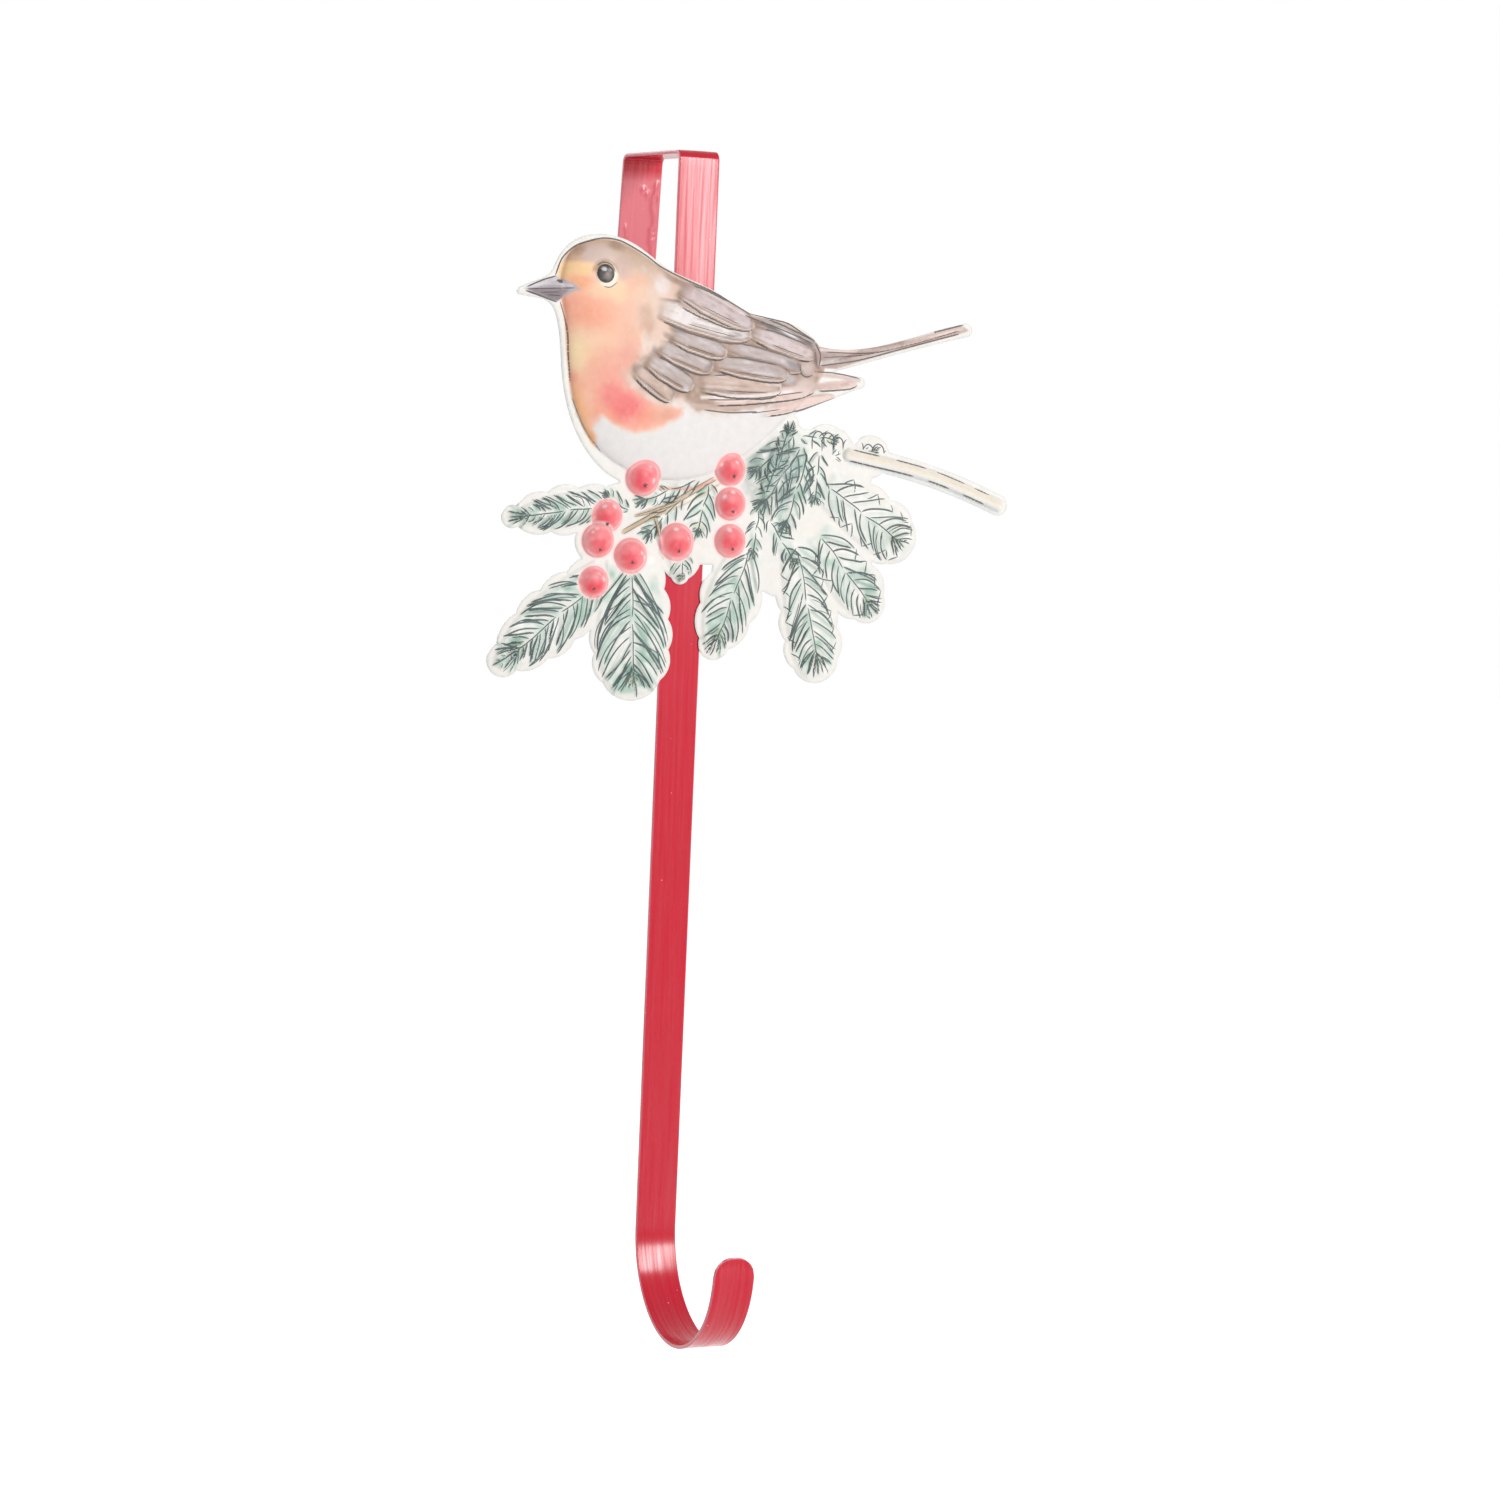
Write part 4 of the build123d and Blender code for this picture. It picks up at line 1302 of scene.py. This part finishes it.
# %% Print and bare tin
printed, tree, shader, place = finish("varnished_print")
washes = kept(tree, "paint", "Color")
darker = mixed(tree, 1.0, washes, (0.9, 0.89, 0.89), "MULTIPLY")
granulated = mixed(tree, mottle(tree, place, 420.0, 0.5), darker, washes)
plug(tree, shader, Base_Color=granulated, Roughness=between(tree, mottle(tree, place, 90.0, 0.3), 0.38, 0.5),
     IOR=1.45, Normal=bump(tree, noise(tree, place, 700.0), 0.12, 0.00012))

tin, tree, shader, place = finish("bare_tin")
clouding = mottle(tree, place, 130.0, 0.35)
rolled = noise(tree, mapped(tree, place, (60, 60, 2400)), 1.0)
plug(tree, shader, Base_Color=mixed(tree, clouding, tint(168, 168, 166), tint(196, 196, 194)),
     Roughness=between(tree, clouding, 0.34, 0.52), Metallic=0.9, Normal=bump(tree, rolled, 0.15, 0.00005))
sheet.materials.append(printed)
sheet.materials.append(tin)
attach(plaque, "root")
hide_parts("robin_plaque")
print("plaque finished")

# %% [markdown]
# ## Pen lines
# Over the washes lie pen lines: needles, feather edges, outlines and the dashes along the stem. They are
# finer than the net of the print, so each line is a thin raised ribbon of ink. A stroke is a run of
# points, thin at both ends. Its points are dropped onto the pressed sheet by a ray from the front, and
# parts that would cross a berry or the robin are left out.

# %% Strokes on the sprig
ink_rng = np.random.default_rng(41)
slate = (60, 77, 78)
brown = (86, 74, 70)
strokes = []


def bowed(start, end, bow, wobble=0.12):
    """A slightly wavering line from start to end, bowed sideways."""
    start, end = np.array(start, float), np.array(end, float)
    reach = end - start
    side = np.array([-reach[1], reach[0]]) / max(np.linalg.norm(reach), 1e-6)
    share = np.linspace(0, 1, max(4, math.ceil(np.linalg.norm(reach) / 0.7)))[:, None]
    sway = bow * 4 * share * (1 - share) + wobble * np.sin(share * 7 + ink_rng.uniform(0, 6))
    return start + reach * share + side * sway


def allowed(points):
    """Which points of a stroke may show: on the sprig, clear of robin, berries, stem and rim."""
    free = (body_share(points) > 1.02) & inside(points, rim) & (edge_gap(points) > 1.0)
    free &= line_distance(points, smooth_line(stem_line)) > 2.6
    for centre, diameter in berries:
        free &= np.hypot(*(points - np.array(centre)).T) > diameter / 2 + 0.15
    return free


def ink_on_sprig(points, width, colour=slate):
    """Keeps the runs of a stroke that may show."""
    free = np.append(allowed(points), False)
    run = []
    for number, open_here in enumerate(free):
        if open_here:
            run.append(points[number])
        else:
            if len(run) > 2:
                strokes.append((np.array(run), width, colour))
            run = []


for frond, group in zip(fronds + inner_fronds, needles):
    for start, end, bow in group:
        dark = (np.array(slate) * ink_rng.uniform(0.75, 1.25)).clip(0, 255)
        ink_on_sprig(bowed(start, end, bow), ink_rng.uniform(0.4, 0.66), dark)
        if ink_rng.uniform() < 0.4:
            beside = ink_rng.normal(0, 0.7, 2)
            close = start + (end - start) * ink_rng.uniform(0.05, 0.3)
            doubled = bowed(close + beside, end + beside * 0.6, bow)
            ink_on_sprig(doubled, ink_rng.uniform(0.22, 0.36), dark)
    root, tip = np.array(frond[0]), np.array(frond[1])
    for low, high in ((0.05, 0.4), (0.45, 0.85)):
        ink_on_sprig(bowed(root + (tip - root) * low, root + (tip - root) * high, 0.4), 0.42)
for root, tip, *form in fronds[5:8]:
    root, reach = np.array(root), np.array(tip) - np.array(root)
    side = np.array([-reach[1], reach[0]]) / np.linalg.norm(reach)
    share = np.linspace(0.12, 0.97, 2 * int(np.linalg.norm(reach) / 5.5))
    for hand in (1, -1):
        inset = np.where(np.arange(len(share)) % 2, 1.6, ink_rng.uniform(3.4, 5.4, len(share)))
        out = np.maximum(frond_half_width(share, *form) - inset, 0.3) * hand
        jagged = root + reach * share[:, None] + side * out[:, None]
        for a, b in zip(jagged, jagged[1:]):
            if ink_rng.uniform() < 0.8:
                ink_on_sprig(bowed(a, b, ink_rng.uniform(-0.3, 0.3), 0.05), 0.45)
curl = np.array([(-1.9, -2.8), (-1.9, 0.8), (-0.3, 2.8), (1.7, 1.6), (2.1, -2.4)])
for x in np.arange(46.5, 73.0, 3.7):
    y = 9.2 - 0.19 * (x - 46) + ink_rng.uniform(-0.3, 0.3)
    ink_on_sprig(smooth_line(curl * ink_rng.uniform(0.9, 1.15) + (x, y)), 0.42)
print("strokes on the sprig:", len(strokes))

# %% Strokes on twigs, stem and berries
for start, end, width in twigs:
    side = np.array([-(end[1] - start[1]), end[0] - start[0]]) / math.dist(start, end)
    for hand in (1, -1):
        bark_start = np.array(start) + side * hand * width * 0.6
        bark_end = np.array(end) + side * hand * width * 0.5
        ink_on_sprig(bowed(bark_start, bark_end, 0.3), 0.3, (150, 126, 100))
stem_run = smooth_line(stem_line)
stem_dashes = {2.0: ((0.03, 0.2), (0.3, 0.5), (0.56, 0.76), (0.82, 0.94)),  # above the middle of the stem
               -1.9: ((0.0, 0.42), (0.5, 0.66), (0.74, 0.9))}  # below it
for drop, dashes in stem_dashes.items():
    for low, high in dashes:
        piece = stem_run[int(low * len(stem_run)):int(high * len(stem_run))] + (0, drop)
        strokes.append((piece, 0.5, (92, 84, 78)))
for centre, diameter in berries:
    heart = np.array(centre) + (ink_rng.uniform(-0.6, 0.6), -diameter * ink_rng.uniform(0.16, 0.26))
    for turn in np.linspace(0, 2 * math.pi, 5, endpoint=False) + ink_rng.uniform(0, 1):
        tip = heart + np.array([math.cos(turn), math.sin(turn)]) * ink_rng.uniform(0.5, 1.0)
        strokes.append((bowed(heart, tip, 0, 0), 0.55, (58, 38, 40)))
print("strokes so far:", len(strokes))

# %% Strokes on the robin
def flat_place(points):
    """Takes places measured on the raised body back to the flat drawing."""
    points = np.array(points, float)
    spots = points.copy()
    for _ in range(4):
        spots[:, 0] = points[:, 0] - lean * body_dome(spots)
    return spots


def ink_on_robin(points, width, colour):
    """A stroke given by a few measured places on the robin."""
    strokes.append((flat_place(smooth_line(points)), width, colour))


ink_grey = (78, 70, 74)
robin_lines = [  # places, width, colour
    ([(-49, 58.6), (-47.2, 63.6), (-45, 66.4), (-42, 68.6), (-38, 70.1), (-33, 71.3), (-28, 71), (-24, 69.6),
      (-18, 66.6), (-12, 62.9), (-4, 59.6), (6, 56), (14, 52.2), (20, 49.2)], 0.5, brown),
    ([(-47, 50.4), (-45.2, 45), (-44.2, 40), (-43.6, 33), (-42.6, 25)], 0.4, (140, 104, 86)),
    ([(-41.8, 20), (-38.8, 13.4), (-34.8, 7.2), (-31, 2.8)], 0.3, (168, 158, 150)),
    ([(20, 49.4), (27, 48.4), (34, 46.6), (40, 43.4), (46, 40.2)], 0.5, brown),
    ([(18, 48.8), (26, 46.4), (34, 43.8), (43, 40.6)], 0.42, brown),
    ([(-58.6, 54.6), (-53, 57.1), (-48.6, 58.5)], 0.5, ink_grey),
    ([(-59, 53.4), (-53, 51.7), (-48.2, 50.2)], 0.55, ink_grey),
    ([(-58.4, 53.9), (-50, 54.5), (-42, 54.9)], 0.32, ink_grey),
    ([(-48.4, 57.2), (-46.4, 56.4)], 1.2, ink_grey),
    ([(-54, 53), (-48, 53.4)], 0.3, ink_grey), ([(-52, 52.4), (-47, 52.2)], 0.3, ink_grey),
    ([(-34.6, 62.4), (-32.4, 63.6), (-29.6, 62.8), (-28.2, 60.6)], 0.42, ink_grey),
    ([(-32, 55.8), (-29.6, 55.7), (-27.2, 57.4)], 0.26, ink_grey),
]
for line, width, colour in robin_lines:
    ink_on_robin(line, width, colour)
print("strokes with the robin's outlines:", len(strokes))

# %% Strokes on the wing and tail
feather_lines = (  # place across the feather, width, start and end
    (-1.06, 0.55, 0.14, 1), (0.84, 0.44, 0.22, 0.85), (-0.5, 0.24, 0.35, 0.85))
for number, (root, tip, half_width, colour) in enumerate(feathers):
    root, reach = np.array(root), np.array(tip) - np.array(root)
    side = np.array([-reach[1], reach[0]]) / np.linalg.norm(reach)
    share = np.linspace(0.01, 0.99, max(10, int(np.linalg.norm(reach) / 0.7)))[:, None]
    room = feather_half_width(share, half_width)
    for level, width, low, high in feather_lines[:1] if colour == rosy else feather_lines:
        line = root + reach * share + side * level * room
        open_here = (share[:, 0] >= low) & (share[:, 0] <= high)
        for above_root, above_tip, above_width, _ in feathers[number + 1:]:
            above, above_room, _ = feather_across(line, above_root, above_tip, above_width)
            open_here &= (np.abs(above) > 1.0) | (above_room < 0.2)
        shade = (np.array(brown) * ink_rng.uniform(0.8, 1.25)).clip(0, 255)
        shown = np.flatnonzero(open_here)
        for run in np.split(shown, np.flatnonzero(np.diff(shown) > 1) + 1):
            if len(run) > 3:
                strokes.append((line[run] + ink_rng.normal(0, 0.05, (len(run), 2)), width, shade))
tail_lines = [  # places, width
    ([(6, 20.9), (20, 21.6), (40, 24.6)], 0.36), ([(5, 17.6), (14, 17), (24, 17.6)], 0.5),
    ([(22, 17), (32, 18.6)], 0.3), ([(44, 31.4), (52, 31.2), (60.6, 29.8)], 0.42),
    ([(46, 41), (60, 41), (78, 43.8), (98.4, 49)], 0.5), ([(48, 38), (64, 38.4), (80, 42), (97, 47)], 0.34),
    ([(46, 33.4), (60, 35.8), (76, 40.2), (97, 46)], 0.5), ([(47, 36.2), (60, 37.4), (72, 39.8)], 0.28),
    ([(44, 40.6), (46, 37), (45.6, 33)], 0.5), ([(38.6, 33.8), (39, 31), (41, 29.6), (43.4, 30.2)], 0.45),
]
for line, width in tail_lines:
    ink_on_robin(line, width, (96, 80, 76))
print("strokes in all:", len(strokes))

# %% [markdown]
# A ribbon has three points at each place of its stroke: two feet on the sheet and a crest between them.
# Neighbouring places are joined by three faces, and both ends are closed.

# %% Lay the strokes as ribbons of ink
ink_height = 0.07
ink_foot = 0.01
ray_start = sheet_front - 20
sheet_tree = BVHTree.FromPolygons([tuple(v) for v in front_points], front_faces.tolist())


def on_sheet(point):
    """The level of the sheet's front at a spot of the drawing."""
    hit, *_ = sheet_tree.ray_cast(Vector((point[0], ray_start, point[1] - plaque_drop)), Vector((0, 1, 0)))
    return hit.y if hit is not None else None


ink_points, ink_faces, ink_colours = [], [], []
for points, width, colour in strokes:
    ahead = np.gradient(points, axis=0)
    ahead /= np.maximum(np.linalg.norm(ahead, axis=1), 1e-9)[:, None]
    side = np.column_stack([-ahead[:, 1], ahead[:, 0]])
    count = len(points)
    taper = np.clip(np.minimum(np.arange(count) + 0.6, count - 0.4 - np.arange(count)) / 2.2, 0.25, 1)
    sections = []
    for point, across_line, thin in zip(points, side, taper):
        half = width / 2 * thin
        aside = across_line * half
        trio = [(point + aside, ink_foot), (point - aside, ink_foot), (point, ink_height)]
        levels = [on_sheet(p) for p, _ in trio]
        if None in levels:
            continue
        sections.append([(p[0], level - lift, p[1] - plaque_drop) for (p, lift), level in zip(trio, levels)])
    if len(sections) < 2:
        continue
    first = len(ink_points)
    ink_points += [corner for section in sections for corner in section]
    ink_colours += [tint(*colour)] * (3 * len(sections))
    for i in range(len(sections) - 1):
        a = first + 3 * i
        for j in range(3):
            k = (j + 1) % 3
            ink_faces.append((a + j, a + k, a + 3 + k, a + 3 + j))
    ink_faces.append((first, first + 2, first + 1))
    last = first + 3 * (len(sections) - 1)
    ink_faces.append((last, last + 1, last + 2))
print("points of the ribbons:", len(ink_points))

# %% Make the ink mesh
ink_mesh = bpy.data.meshes.new("pen_lines")
ink_mesh.from_pydata((np.array(ink_points) * mm).tolist(), [], ink_faces)
pen_lines = bpy.data.objects.new("pen_lines", ink_mesh)
bpy.context.scene.collection.objects.link(pen_lines)
attribute = ink_mesh.color_attributes.new("ink", "FLOAT_COLOR", "POINT")
opaque = np.column_stack([np.array(ink_colours), np.ones(len(ink_colours))])
attribute.data.foreach_set("color", opaque.ravel())
pick(pen_lines)
normals_out()
print("pen lines:", len(ink_mesh.polygons), "faces")

# %% Ink
ink, tree, shader, place = finish("pen_ink")
line_colour = kept(tree, "ink", "Color")
flow = mottle(tree, place, 350.0, 0.4)
paler = mixed(tree, 0.25, line_colour, tint(160, 160, 156))
plug(tree, shader, Base_Color=mixed(tree, flow, line_colour, paler), Roughness=between(tree, flow, 0.4, 0.55))
ink_mesh.materials.append(ink)
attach(pen_lines, "root")
print("ink finished")

# %% [markdown]
# ## Solder
# Two short fillets of solder hold the plaque to the edges of the strip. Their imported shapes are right,
# so they only get a finish: soft grey metal with a frosted, uneven skin.

# %% Solder finish
solder, tree, shader, place = finish("soft_solder")
frost = mottle(tree, place, 500.0, 0.3)
plug(tree, shader, Base_Color=mixed(tree, frost, tint(150, 150, 152), tint(192, 192, 194)),
     Roughness=between(tree, frost, 0.35, 0.6), Metallic=1.0, Normal=bump(tree, frost, 0.4, 0.0001))
solder_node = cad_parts["solder_seams"]
solder_node.data.materials.clear()
solder_node.data.materials.append(solder)
print("solder finished")
